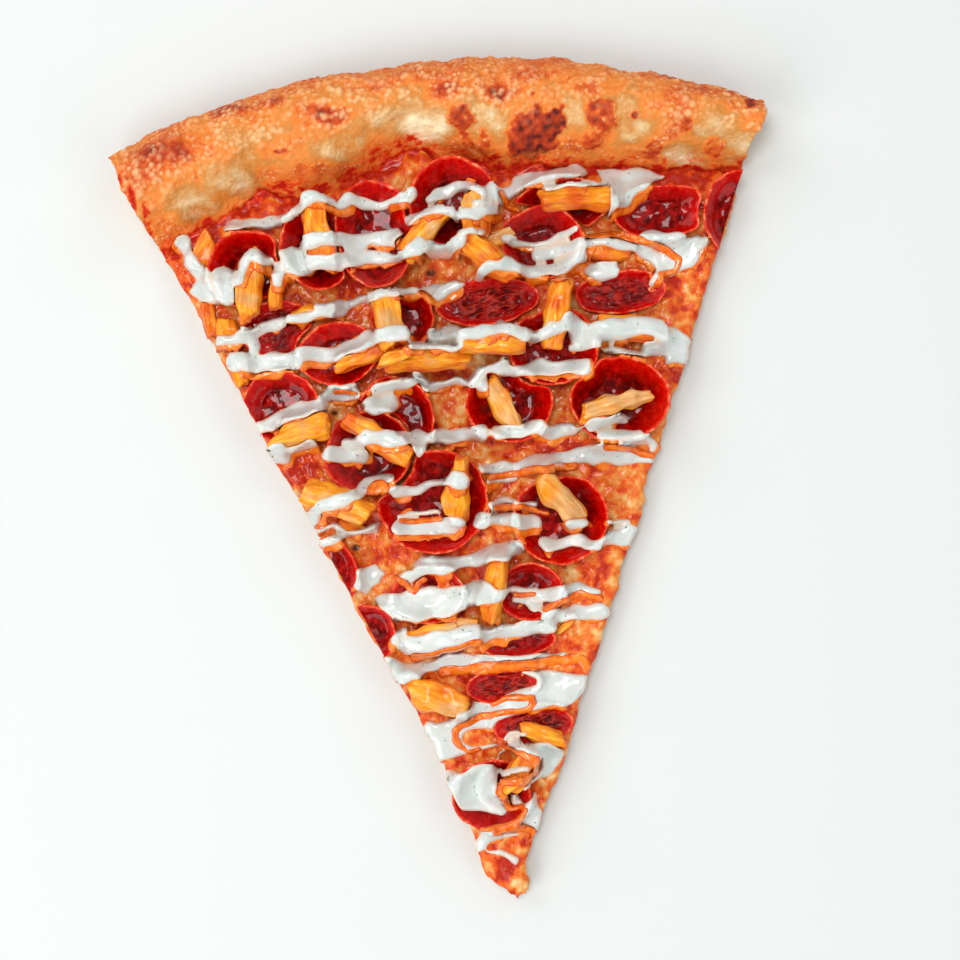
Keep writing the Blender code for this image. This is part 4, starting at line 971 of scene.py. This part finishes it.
def spread(streams, pools, seed, waver):
    """Distance field of a liquid's outline on the grid, with wavering edges."""
    field = np.full((len(grid_y), len(grid_x)), 9.0)
    shapes = [(stream_distance, s, s[1:]) for s in streams] + [(pool_distance, p, p) for p in pools]
    for distance, shape, points in shapes:
        x0, x1 = min(p[0] for p in points) - 8.0, max(p[0] for p in points) + 8.0
        y0, y1 = min(p[1] for p in points) - 8.0, max(p[1] for p in points) + 8.0
        cols = np.nonzero((grid_x > x0) & (grid_x < x1))[0]
        rows = np.nonzero((grid_y > y0) & (grid_y < y1))[0]
        window = np.ix_(rows, cols)
        xs, ys = np.meshgrid(grid_x[cols], grid_y[rows])
        warp = np.array([[noise.noise_vector(Vector((x / 5.2, y / 4.2, seed)))[:2] for x in grid_x[cols]]
                         for y in grid_y[rows]])
        found = distance(xs + waver * warp[:, :, 0], ys + waver * warp[:, :, 1], shape)
        a, b = field[window], found
        blend = np.clip(0.5 + 0.5 * (a - b) / 0.5, 0.0, 1.0)
        field[window] = a * (1.0 - blend) + b * blend - 0.5 * blend * (1.0 - blend) * 0.5
    return field


def sampled(field, xs, ys):
    """Values of a grid field between its points."""
    u = np.clip((xs - LEFT) / GRID, 0, len(grid_x) - 1.001)
    v = np.clip((ys - NEAR) / GRID, 0, len(grid_y) - 1.001)
    i, j = u.astype(int), v.astype(int)
    fu, fv = u - i, v - j
    return (field[j, i] * (1 - fu) * (1 - fv) + field[j, i + 1] * fu * (1 - fv)
            + field[j + 1, i] * (1 - fu) * fv + field[j + 1, i + 1] * fu * fv)


def poured(name, field, thick, round_off, mat, slot, hang=1.0):
    """Lay a liquid over everything below it as a closed skin with rounded edges."""
    bm = bmesh.new()
    depth_layer = bm.verts.layers.float.new("depth")
    ground_layer = bm.verts.layers.float.new("ground")
    columns, rows = len(grid_x) - 1, len(grid_y) - 1
    made = bmesh.ops.create_grid(bm, x_segments=columns, y_segments=rows, size=1.0)["verts"]
    flat = field.ravel()
    slope_y, slope_x = np.gradient(field, GRID)
    slope_x, slope_y = slope_x.ravel(), slope_y.ravel()
    far_off = [vert for vert, out in zip(made, flat) if out > 0.75 * GRID]
    distance = dict(zip(made, range(len(made))))
    bmesh.ops.delete(bm, geom=far_off, context="VERTS")
    loose = [v for v in bm.verts if not v.link_faces]
    bmesh.ops.delete(bm, geom=loose, context="VERTS")
    verts = list(bm.verts)
    index = np.array([distance[v] for v in verts])
    rim = np.array([v.is_boundary for v in verts])
    xs = grid_x[index % len(grid_x)].copy()
    ys = grid_y[index // len(grid_x)].copy()
    steep = np.maximum(slope_x[index] ** 2 + slope_y[index] ** 2, 0.3)
    move = np.clip(flat[index], -GRID, GRID) * np.where(rim | (flat[index] > 0), 1.0, 0.0)
    xs -= move * slope_x[index] / steep
    ys -= move * slope_y[index] / steep
    ground = np.maximum(heights(xs, ys), sampled(foot, xs, ys))
    hung = sampled(cover, xs, ys)
    deep = np.where(rim, 0.0, np.clip(-sampled(field, xs, ys), 0.0, round_off)) / round_off
    rise = thick * np.sqrt(np.clip(1.0 - (1.0 - deep) ** 2, 0.0, 1.0))
    bed = ground + hang * (hung - ground) * np.clip(deep * 1.6, 0.0, 1.0)
    tops = np.maximum(bed + rise, ground + 0.7 * rise)
    tops = np.where(rim, ground - 0.1, tops)
    for vert, x, y, z, part, low in zip(verts, xs, ys, tops, deep, ground):
        ripple = 0.03 * part * grain(Vector((x, y, 0.0)), 3.0, 70.0)
        vert.co = (x, y, z + ripple)
        vert[depth_layer], vert[ground_layer] = part, low
    bmesh.ops.recalc_face_normals(bm, faces=bm.faces)
    if sum(f.normal.z for f in bm.faces) < 0:
        bmesh.ops.reverse_faces(bm, faces=bm.faces)
    skin = bm.faces[:]
    copies = bmesh.ops.extrude_face_region(bm, geom=skin, use_keep_orig=True)["geom"]
    for vert in (g for g in copies if isinstance(g, bmesh.types.BMVert)):
        vert.co.z = max(min(vert.co.z, vert[ground_layer]) - 0.35, 0.0)
    bmesh.ops.recalc_face_normals(bm, faces=bm.faces)
    return finish_piece(name, bm, mat, slot)


everywhere_x, everywhere_y = np.meshgrid(grid_x, grid_y)
beyond = np.empty(everywhere_x.shape)       # how far each point of the grid lies outside the slice
for row, y in enumerate(grid_y):
    left, right = [plan(side, y / cos(HALF_ANGLE))[0] for side in (-1.0, 1.0)]
    beyond[row] = np.maximum(grid_x - right, left - grid_x) * cos(HALF_ANGLE)


def kept_on(field):
    """A liquid's outline held to the slice, with only short lips over its edges."""
    lips = [[LIP + 0.7 * grain(Vector((0.0, y, 0.0)), 4.0, 82.0)] for y in grid_y]
    return np.maximum(field, beyond - np.array(lips))


def ground_below():
    """The height of what a liquid lies on, and the surface that it would drape over it."""
    found = heights(everywhere_x.ravel(), everywhere_y.ravel()).reshape(everywhere_x.shape)
    foot = widened(found)
    lip = widened(widened(foot)) - LIP_DROP * (0.4 + beyond)
    foot = np.where(beyond > 0.0, np.maximum(foot, lip), foot)
    return foot, draped(foot)


foot, cover = ground_below()

# The dressing's outline, which this sauce follows. Each stream: its width, then the points it runs
# through; a third number at a point is the width there.
STREAMS = (
    (3.0, (-66, 212), (-56, 212), (-47, 213)), (3.5, (-44, 214), (-38, 217), (-34, 215.5)),
    (3.0, (-32, 214), (-28, 215.5), (-20, 213), (-12, 214.5), (-10, 215.5)),
    (3.0, (-5, 213.5), (2, 216), (6, 216.5), (12, 213.5)),
    (4.0, (14, 214), (17, 212), (22, 216), (35, 218), (40, 217.5)), (2.0, (30, 212.7), (47, 212.7)),
    (3.0, (-11, 207), (-5, 209.5), (0, 209), (8, 206.5), (14, 208)), (2.0, (9, 210), (14, 210.6)),
    (3.5, (-80.5, 209), (-79, 203), (-75, 198), (-74, 192)), (6.5, (-68.5, 191), (-68.5, 197)),
    (3.0, (-64, 195), (-60, 202), (-55, 200)), (3.0, (-52.2, 193), (-52.2, 197)),
    (4.2, (-43, 203.7), (-34.5, 203.7)), (4.0, (-43, 197.2), (-34.5, 197.2)),
    (3.5, (-34, 197.5), (-26, 198), (-14, 196.5), (-10, 197.5)), (5.0, (-11.5, 198), (-10, 198.4)),
    (1.8, (15, 198.5), (25, 197), (37, 199.5)), (3.5, (15, 191), (22, 189), (30, 188), (38, 192)),
    (3.5, (26, 193.5), (38, 195), (45, 196), (55, 193), (60, 190), (62, 186)), (2.2, (62, 186), (59, 182)),
    (5.0, (41.5, 187), (47.5, 187)), (4.0, (58, 195), (63, 195), (70, 192), (75, 192)),
    (3.0, (-6, 198), (0, 197), (3, 198)), (2.0, (3, 200.3), (9, 200.8)), (3.0, (8, 189), (12, 191),
    (20, 189)),
    (2.6, (-65, 178.5), (-57, 181), (-48, 182), (-34, 183)), (2.5, (-41, 184.5), (-30, 185.5), (-12, 186.5)),
    (2.5, (-72, 178), (-64, 178)), (5.0, (-68, 171), (-66, 171)), (3.0, (-62.5, 171.5), (-62.5, 179)),
    (5.0, (-64, 170), (-50, 170)), (4.5, (-49, 171.5), (-38, 170.5), (-26, 173.5), (-17, 173.5)),
    (4.0, (-8, 173), (-1, 173)), (2.5, (-14, 170), (-1, 168.5)), (4.0, (0, 171.5), (12, 172.5), (20, 170)),
    (3.5, (22, 169), (31, 171)), (5.5, (33, 172), (36, 168), (50, 169.5), (58, 168), (66, 162)),
    (2.5, (33, 165), (40, 165)), (3.0, (55, 162), (60, 162)), (4.0, (15, 159.5), (24, 160), (36, 158.5)),
    (3.5, (2, 158), (5, 161), (12, 161)), (2.5, (5, 155.5), (5, 157.5)), (3.0, (-42, 158.5), (-33, 158.5)),
    (4.0, (-62, 151), (-56, 153), (-44, 156)), (5.0, (-29, 153.5), (-23.5, 153.5)),
    (3.0, (-26, 158.5), (-16, 159.5)), (2.5, (-12, 158), (0, 158)), (2.0, (-15, 161), (-12, 159)),
    (5.5, (-58, 142.5), (-57, 142.5)), (1.6, (-57, 142.5), (-47, 144.5)), (5.0, (-15.5, 140), (-15.5, 143)),
    (2.0, (-13, 143), (-11, 143)), (4.0, (-43, 141), (-38, 140), (-33, 139)),
    (4.0, (-36, 143), (-30, 144.5), (-20, 142.5)), (4.0, (-10, 142.5), (3, 142.5)),
    (3.0, (8, 142), (14, 141.5), (21, 142)), (4.0, (23, 140.5), (30, 140.5)), (3.0, (35, 141), (46, 142)),
    (2.0, (39, 137.5), (50, 137.5)), (2.5, (45, 134.5), (52, 135.5), (54, 133)),
    (3.0, (3, 131.5), (13, 131.5)),
    (4.0, (13.5, 131), (28, 132.5), (35, 132.5, 6), (45, 131), (53, 129, 3)), (1.5, (4, 127.5), (13, 127.5)),
    (2.0, (-35, 127), (-33, 131), (-28, 132), (-25, 131.5)), (2.5, (-25, 127), (-10, 128.5), (-6, 129)),
    (5.0, (-5.5, 128.5), (-4.5, 128.5)), (3.5, (-52, 121), (-47, 125), (-37, 127.5)),
    (1.0, (-24, 120.5), (-12, 120)), (4.0, (-24, 117), (-17, 115.5), (-7, 116)),
    (4.0, (0, 116), (8, 116), (17, 114)), (1.5, (4, 120.5), (10, 121), (17, 118.5)),
    (3.0, (26.5, 112.3), (30, 112.3)), (1.2, (-49, 118), (-44, 120), (-40, 116)),
    (2.0, (-48, 114), (-41, 116)), (2.0, (-39, 116), (-31, 117)),
    (4.5, (-19, 104.5), (-12, 104), (-4, 104.5), (3, 106), (10, 107)), (3.5, (19, 107), (30, 107)),
    (3.0, (31, 106), (36, 106)), (5.0, (39, 106.5), (44, 107)), (1.0, (38, 111.5), (45, 110.5)),
    (1.4, (7, 94.5), (14, 93.5)), (3.0, (14, 92), (20, 91.5), (27, 93), (33, 90.5)),
    (2.0, (8, 91.5), (15, 89)), (4.0, (17, 85), (25, 86), (34, 85)),
    (4.0, (-4, 82), (2, 82), (10, 82.5), (17, 83)), (6.0, (-26, 81, 5), (-15, 82), (-5, 83.5, 4)),
    (2.0, (-29, 83), (-26, 85.5)), (6.0, (-33, 77, 3), (-28, 73)),
    (4.0, (-26, 73.5), (-14, 74.5), (-4, 74.5, 3), (2, 74, 2), (20, 73, 2)))
POOLS = (
    ((45, 218), (58, 217), (66, 214), (60, 210.5), (54, 206), (47.5, 202.5), (49, 213)),
    ((-73, 200), (-72, 189), (-77, 190), (-80, 194)),
    ((-51, 202.5), (-48, 204), (-44, 202.5), (-43, 195), (-46, 194), (-50, 196.5)),
    ((-34, 205.5), (-16, 206), (-14, 204), (-17, 200.5), (-24, 202), (-27, 198.5), (-31, 200)),
    ((63, 195), (70, 192), (75, 192), (72, 186), (64, 183.5), (62, 188)),
    ((-10, 188), (0, 189), (3, 187), (-6, 182.5)),
    ((60, 169), (65, 167), (69, 162), (66, 157), (60, 157.5)),
    ((41.5, 163), (45, 164.5), (56, 160.5), (46, 161)),
    ((-38, 105), (-33, 106), (-30, 104), (-32, 100), (-37, 98), (-39, 101)),
    ((-26, 103), (-18, 103), (-22, 99)),
    ((-34, 97), (-26, 96.5), (-18, 98), (-9, 96.5), (-4, 98.7), (3, 95.5), (6, 95), (5, 92.5), (-6, 91),
     (-14, 89), (-22, 88), (-28, 89.5), (-32, 93)))
# The last passes, near the tip, ran together into broad folds.
TIP_STREAMS = (
    (0.7, (0.7, 49.9), (2.2, 51.7), (3.9, 52), (6.8, 51.6)), (1.2, (-2.2, 40.8), (1.2, 41.8), (4.4, 42),
    (6.3, 41.9)))
TIP_POOLS = (
    ((27.5, 66.3), (25.5, 61.9), (23.7, 60.2), (21.8, 58.3), (18.6, 58.1), (16, 59.1), (13.2, 58.4),
     (8.2, 57.5),
     (5, 57.3), (1.6, 56.3), (-1.2, 55.8), (-3, 53.8), (-6.8, 54), (-10, 54), (-12, 52.9), (-12.7, 51.3),
     (-11.6, 49.6), (-9, 48.2), (-3.5, 48.8), (-1.4, 48.4), (-7.4, 47.7), (-10.2, 47), (-15.4, 46.1),
     (-19.6, 45.3), (-21.5, 47.4), (-23.8, 51.4), (-24.1, 54.1), (-23.7, 55.4), (-21.5, 57.7), (-19.2, 56.4),
     (-16.2, 57), (-12.8, 58.3), (-13, 59.4), (-9.4, 59.8), (-7.9, 60.8), (-8.1, 62.2), (-2.2, 60.9),
     (0, 61.5),
     (2.3, 63.3), (6.8, 64.2), (12, 65), (12.5, 67.1), (7.3, 69.5), (17, 68.9), (22.8, 67.2)),
    ((4.5, 50.5), (5.2, 48.9), (8.3, 47.8), (10.5, 48.4), (13.7, 48.1), (16, 46.2), (17.7, 44.9),
     (17.2, 42.8),
     (15.3, 40.3), (13.5, 38.3), (11, 37.2), (10, 37.6), (10.7, 40.8), (10.5, 43.5), (9.1, 45.3), (5, 47.3),
     (1.8, 47.6), (0.6, 46.7), (-3.2, 44.3), (0.1, 47), (3, 49.4)),
    ((10.2, 40.2), (13.8, 39.8), (12.9, 38.6), (9.9, 37.3), (7.4, 36), (5.4, 35.6), (4.5, 36.3), (7.5, 37.4),
     (9.2, 38.6)),
    ((-17.8, 42.4), (-15.1, 41.6), (-12.3, 41.8), (-9.8, 43.5), (-7, 43.8), (-4, 43.1), (-2.6, 41.5),
     (-3.4, 39.3), (-3.7, 35.8), (-2, 34.1), (-2.1, 31.3), (-0.8, 28.9), (-2.3, 27.8), (-6.7, 28.8),
     (-9.3, 29.7), (-12.4, 30.3), (-14.2, 31), (-16.5, 35.6), (-18.3, 39.3)),
    ((1.4, 34.5), (2.2, 34.2), (2.7, 32.3), (4.1, 30.4), (1.3, 30.6), (0.2, 31.9), (0.5, 33.6)),
    ((7.9, 33), (8.1, 29.1), (9.6, 26.2), (8.9, 22), (8, 19.1), (6.3, 17.2), (5.8, 17.8), (7.1, 19.6),
     (6.9, 21.8), (5.3, 23.4), (3.2, 24.1), (1.3, 24.3), (2.9, 25.9), (4.8, 27.9), (4.5, 29.3), (4, 29.9),
     (6.5, 31.8)),
    ((-9.1, 23.9), (-7.5, 24.1), (-5.3, 23.2), (-3.8, 22.1), (-0.8, 21.6), (2.1, 21.1), (-0.9, 20.6),
     (-4, 20.3),
     (-6.8, 19.6), (-8.1, 18.7), (-8.6, 17.5), (-10.6, 16.9), (-12.7, 16.9), (-11.8, 19.1), (-10.2, 21.2),
     (-9.6, 22.7)),
    ((-8.4, 16.3), (-6, 16.6), (-4.4, 17.1), (-2.6, 15.8), (-0.7, 14.5), (0.9, 13.5), (0.4, 11.8),
     (-0.6, 12.3),
     (-2.3, 14.1), (-4.2, 15.2), (-6.1, 15.7)))

EDGE_SHIFT = 1.0         # how far the sauce lies towards the tip from the dressing
EDGES_END = 74.0         # nearer the tip than this it stays out from under the dressing
dressing_field = np.minimum(spread(STREAMS, POOLS, 4.0, 1.5), spread(TIP_STREAMS, TIP_POOLS, 4.0, 0.4))
dressing_field = kept_on(softened(dressing_field, 1) - SWELL)
patches = np.array([[grain(Vector((x, y, 0.0)), 9.0, 80.0) + 0.6 * grain(Vector((x, y, 0.0)), 3.0, 81.0)
                     for x in grid_x] for y in grid_y])
near_tip = np.clip((EDGES_END - everywhere_y) / 5.0, 0.0, 1.0)
edge_field = np.roll(dressing_field, -round(EDGE_SHIFT / GRID), 0) + 1.3 + near_tip
edge_field = kept_on(softened(edge_field - np.clip(0.2 + 4.5 * patches, 0.0, 2.4), 2))

# Pepper sauce: runny, glossy and a little see-through, deeper orange where it lies thin.
hot, tree, shader = surface("pepper_sauce", Roughness=0.2, IOR=1.38, Specular_IOR_Level=0.3,
                            Subsurface_Weight=0.2, Subsurface_Scale=0.001, Coat_Weight=0.8,
                            Coat_Roughness=0.04)
point = add(tree, "TexCoord").outputs["Object"]
depth = add(tree, "Attribute", attribute_name="depth").outputs["Fac"]
cloud = add(tree, "TexNoise", {"Vector": point, "Scale": 1 / (2.0 * MM), "Detail": 3.0})
runny = add(tree, "Math", {0: depth, 1: 0.3, 2: -0.2}, operation="MULTIPLY_ADD")
shade = add(tree, "Math", {0: cloud.outputs["Fac"], 1: runny.outputs[0]}, operation="ADD")
orange = add(tree, "ValToRGB", {"Fac": shade.outputs[0]}, stops=(
    (0.2, "#D44E08"), (0.42, "#F06C10"), (0.66, "#FA8E2C")))
tree.links.new(orange.outputs["Color"], shader.inputs["Base Color"])
poured("hot_sauce_edges", edge_field - 0.2, 0.15, 1.2, hot, "hot_sauce", hang=0.6)
foot, cover = ground_below()

# Dressing: thick white ranch squeezed from a bottle in passes from side to side over the sauce.
# It runs over cups and fruit alike, pools between them, and is flecked with black pepper.

# Ranch: an opaque cool white emulsion with a wet gloss, warmer where it is thin.
ranch, tree, shader = surface("ranch_dressing", Roughness=0.22, IOR=1.4, Subsurface_Weight=0.25,
                              Subsurface_Scale=0.0015, Coat_Weight=0.4, Coat_Roughness=0.08)
point = add(tree, "TexCoord").outputs["Object"]
depth = add(tree, "Attribute", attribute_name="depth").outputs["Fac"]
cloud = add(tree, "TexNoise", {"Vector": point, "Scale": 1 / (6.0 * MM), "Detail": 2.0})
speck = add(tree, "TexVoronoi", {"Vector": point, "Scale": 1 / (2.3 * MM), "Randomness": 1.0})
body = add(tree, "ValToRGB", {"Fac": cloud.outputs["Fac"]}, stops=((0.3, "#CBD2CC"), (0.7, "#DDE1DD")))
thin = add(tree, "MapRange", {"Value": depth, "From Min": 0.0, "From Max": 0.45, "To Min": 0.6,
                              "To Max": 0.0}, clamp=True)
tinted = add(tree, "Mix", {"Factor": thin.outputs[0], "A": body.outputs["Color"], "B": linear("#F0C9A8")},
             data_type="RGBA")
dots = add(tree, "MapRange", {"Value": speck.outputs["Distance"], "From Min": 0.10, "From Max": 0.06,
                              "To Max": 0.5}, clamp=True)
flecked = add(tree, "Mix", {"Factor": dots.outputs[0], "A": tinted.outputs["Result"], "B": linear("#6E6A66")},
              data_type="RGBA")
tree.links.new(flecked.outputs["Result"], shader.inputs["Base Color"])

poured("dressing_ribbons", dressing_field, 0.8, 2.0, ranch, "dressing")

# Black pepper: dried peppercorns, ground coarse and stirred into the dressing before it was poured.
# The flakes that lie at its surface are held there by it, turned every way.

PEPPER_COUNT = 230
bm = bmesh.new()
wet_rows, wet_cols = np.nonzero(dressing_field < -0.6)
for _ in range(PEPPER_COUNT):
    pick = random.randrange(len(wet_rows))
    x, y = grid_x[wet_cols[pick]], grid_y[wet_rows[pick]]
    z = heights(np.array([x]), np.array([y]))[0]
    size = random.uniform(0.14, 0.36)
    flake = bmesh.ops.create_icosphere(bm, subdivisions=1, radius=size)["verts"]
    turn = Euler([random.uniform(0, pi) for _ in range(3)]).to_matrix().to_4x4()
    shape = Matrix.Diagonal((1.0, random.uniform(0.5, 1.0), 0.4, 1.0))
    bmesh.ops.transform(bm, matrix=Matrix.Translation((x, y, z)) @ turn @ shape, verts=flake)

peppercorn, tree, shader = surface("black_pepper", Roughness=0.6)
shade = add(tree, "TexNoise", {"Vector": add(tree, "TexCoord").outputs["Object"], "Scale": 1 / (1.0 * MM)})
dark = add(tree, "ValToRGB", {"Fac": shade.outputs["Fac"]}, stops=((0.35, "#2A2522"), (0.65, "#7A6E62")))
tree.links.new(dark.outputs["Color"], shader.inputs["Base Color"])
finish_piece("pepper_flakes", bm, peppercorn, "dressing", carries=False)

# Hot sauce lines: the same orange sauce, run last and in thin lines over the dressing.
# Most of it lies near the tip, along the folds of the dressing.

SAUCE_STREAMS = (
    (1.8, (40, 198), (48, 197.5), (55, 195.5), (60, 193), (65, 190), (68, 188), (66, 185), (62, 184),
    (60, 181)),
    (1.8, (-2.2, 61.1, 0.8), (2.2, 62.1, 1.2), (6.6, 62.4), (9.7, 61.7), (10.1, 60, 2), (8.3, 58.2, 2),
    (4, 58.2, 2),
     (-0.9, 58, 2), (-5.3, 57.7, 2), (-8.6, 56.7), (-12.3, 55.3), (-14.2, 53.9), (-14.5, 51.8, 1.5),
     (-13.2, 49.2, 1.5), (-10.9, 47.6, 1.2), (-7.4, 47.9, 1)),
    (2.2, (0.6, 47.2, 1), (4.9, 46.8, 1.6), (9, 44.2), (9.5, 41.4), (8.5, 39.1), (4.1, 38.6),
    (-1.5, 39.3, 1.6),
     (-3.2, 35.8, 1.2), (-1.6, 34.2, 1.6), (-0.9, 31.6, 1.8), (-0.5, 29.4, 1.6), (1.2, 29.5, 1.2),
     (3.5, 30.4, 1)),
    (2.2, (-5.3, 22.9, 1), (-1.4, 23.1, 1.8), (2.5, 22.8), (5.3, 21.9), (6.5, 19.9), (5.5, 18.1, 1.2)),
    (1.6, (4.5, 29.1, 1.2), (3.5, 27.2), (1.6, 25.5, 1.8), (-2.8, 24.4), (-9.1, 24.6, 1)),
    (1.4, (-27, 101.5), (-24, 99.5), (-22, 96.8), (-20, 99.5), (-18, 100.5)),
    (2.2, (14, 129.5), (30, 129.5)), (1.8, (40, 134), (47, 132.5), (54, 130)), (1.6, (8, 93), (14, 92.5)),
    (2.0, (17, 88), (22, 90), (28, 91), (33, 89)), (1.8, (4, 128.8), (13, 129)), (0.9, (-39, 159),
    (-33, 158)),
    (1.6, (-23, 118.5), (-12, 118)), (1.6, (5, 119.5), (13, 119), (20, 116)),
    (2.2, (-24, 77), (-14, 78.5), (-4, 80)), (3.0, (-16, 72), (15, 71.5), (25, 72), (28, 68)),
    (1.8, (17, 213), (18, 209), (21, 207.5)), (1.6, (-17, 212), (-12, 212)), (5.0, (-29.5, 129),
    (-28.5, 129)))
foot, cover = ground_below()
line_field = kept_on(spread(SAUCE_STREAMS, (), 9.0, 0.7) - 0.15)
poured("hot_sauce_lines", line_field, 0.22, 1.2, hot, "hot_sauce", hang=0.8)

# Camera straight above, as the photo was taken, over a plain pale floor in soft daylight.

LEAN = radians(5.98)                 # the slice's middle line leans this far left of the frame's up
FRAME_WIDTH = 287.0
CAMERA_HEIGHT = 620.0
SENSOR = 36.0
TOPPING_HEIGHT = 12.0
over = Vector((1.2, 128.3, CAMERA_HEIGHT)) * MM + PIZZA_MIDDLE
camera = bpy.data.cameras.new("camera")
camera.sensor_width = SENSOR
camera.lens = SENSOR * (CAMERA_HEIGHT - TOPPING_HEIGHT) / FRAME_WIDTH
camera_object = bpy.data.objects.new("camera", camera)
camera_object.location = over
camera_object.rotation_euler = (0.0, 0.0, -LEAN)
bpy.context.scene.collection.objects.link(camera_object)
bpy.context.scene.camera = camera_object

bm = bmesh.new()
bmesh.ops.create_grid(bm, x_segments=1, y_segments=1, size=6.0)
mesh = bpy.data.meshes.new("floor")
bm.to_mesh(mesh)
bm.free()
floor = bpy.data.objects.new("floor", mesh)
floor_paint, tree, shader = surface("pale_floor", Roughness=0.7)
shader.inputs["Base Color"].default_value = linear("#DCDFDD")
mesh.materials.append(floor_paint)
bpy.context.scene.collection.objects.link(floor)

world = bpy.data.worlds.new("daylight")
world.use_nodes = True
world.node_tree.nodes["Background"].inputs["Color"].default_value = (0.95, 0.98, 1.0, 1.0)
world.node_tree.nodes["Background"].inputs["Strength"].default_value = 0.18
bpy.context.scene.world = world
bpy.context.scene.view_settings.view_transform = "Standard"

LAMPS = (                # name, place, width and power: large soft sources all round, a small one high up
    ("skylight", (-0.12, 0.20, 1.15), 0.3, 4.2),
    ("window", (-0.75, -0.55, 0.80), 0.9, 9.5), ("far_window", (0.75, -0.60, 0.80), 0.9, 4.6),
    ("wall", (-0.65, 0.80, 0.80), 0.9, 5.6), ("far_wall", (0.75, 0.70, 0.80), 0.9, 3.2))
for name, place, size, power in LAMPS:
    lamp = bpy.data.lights.new(name, "AREA")
    lamp.size = size
    lamp.energy = power
    lamp_object = bpy.data.objects.new(name, lamp)
    lamp_object.location = place
    lamp_object.rotation_euler = (-Vector(place)).to_track_quat("-Z", "Y").to_euler()
    bpy.context.scene.collection.objects.link(lamp_object)

bpy.context.view_layer.update()
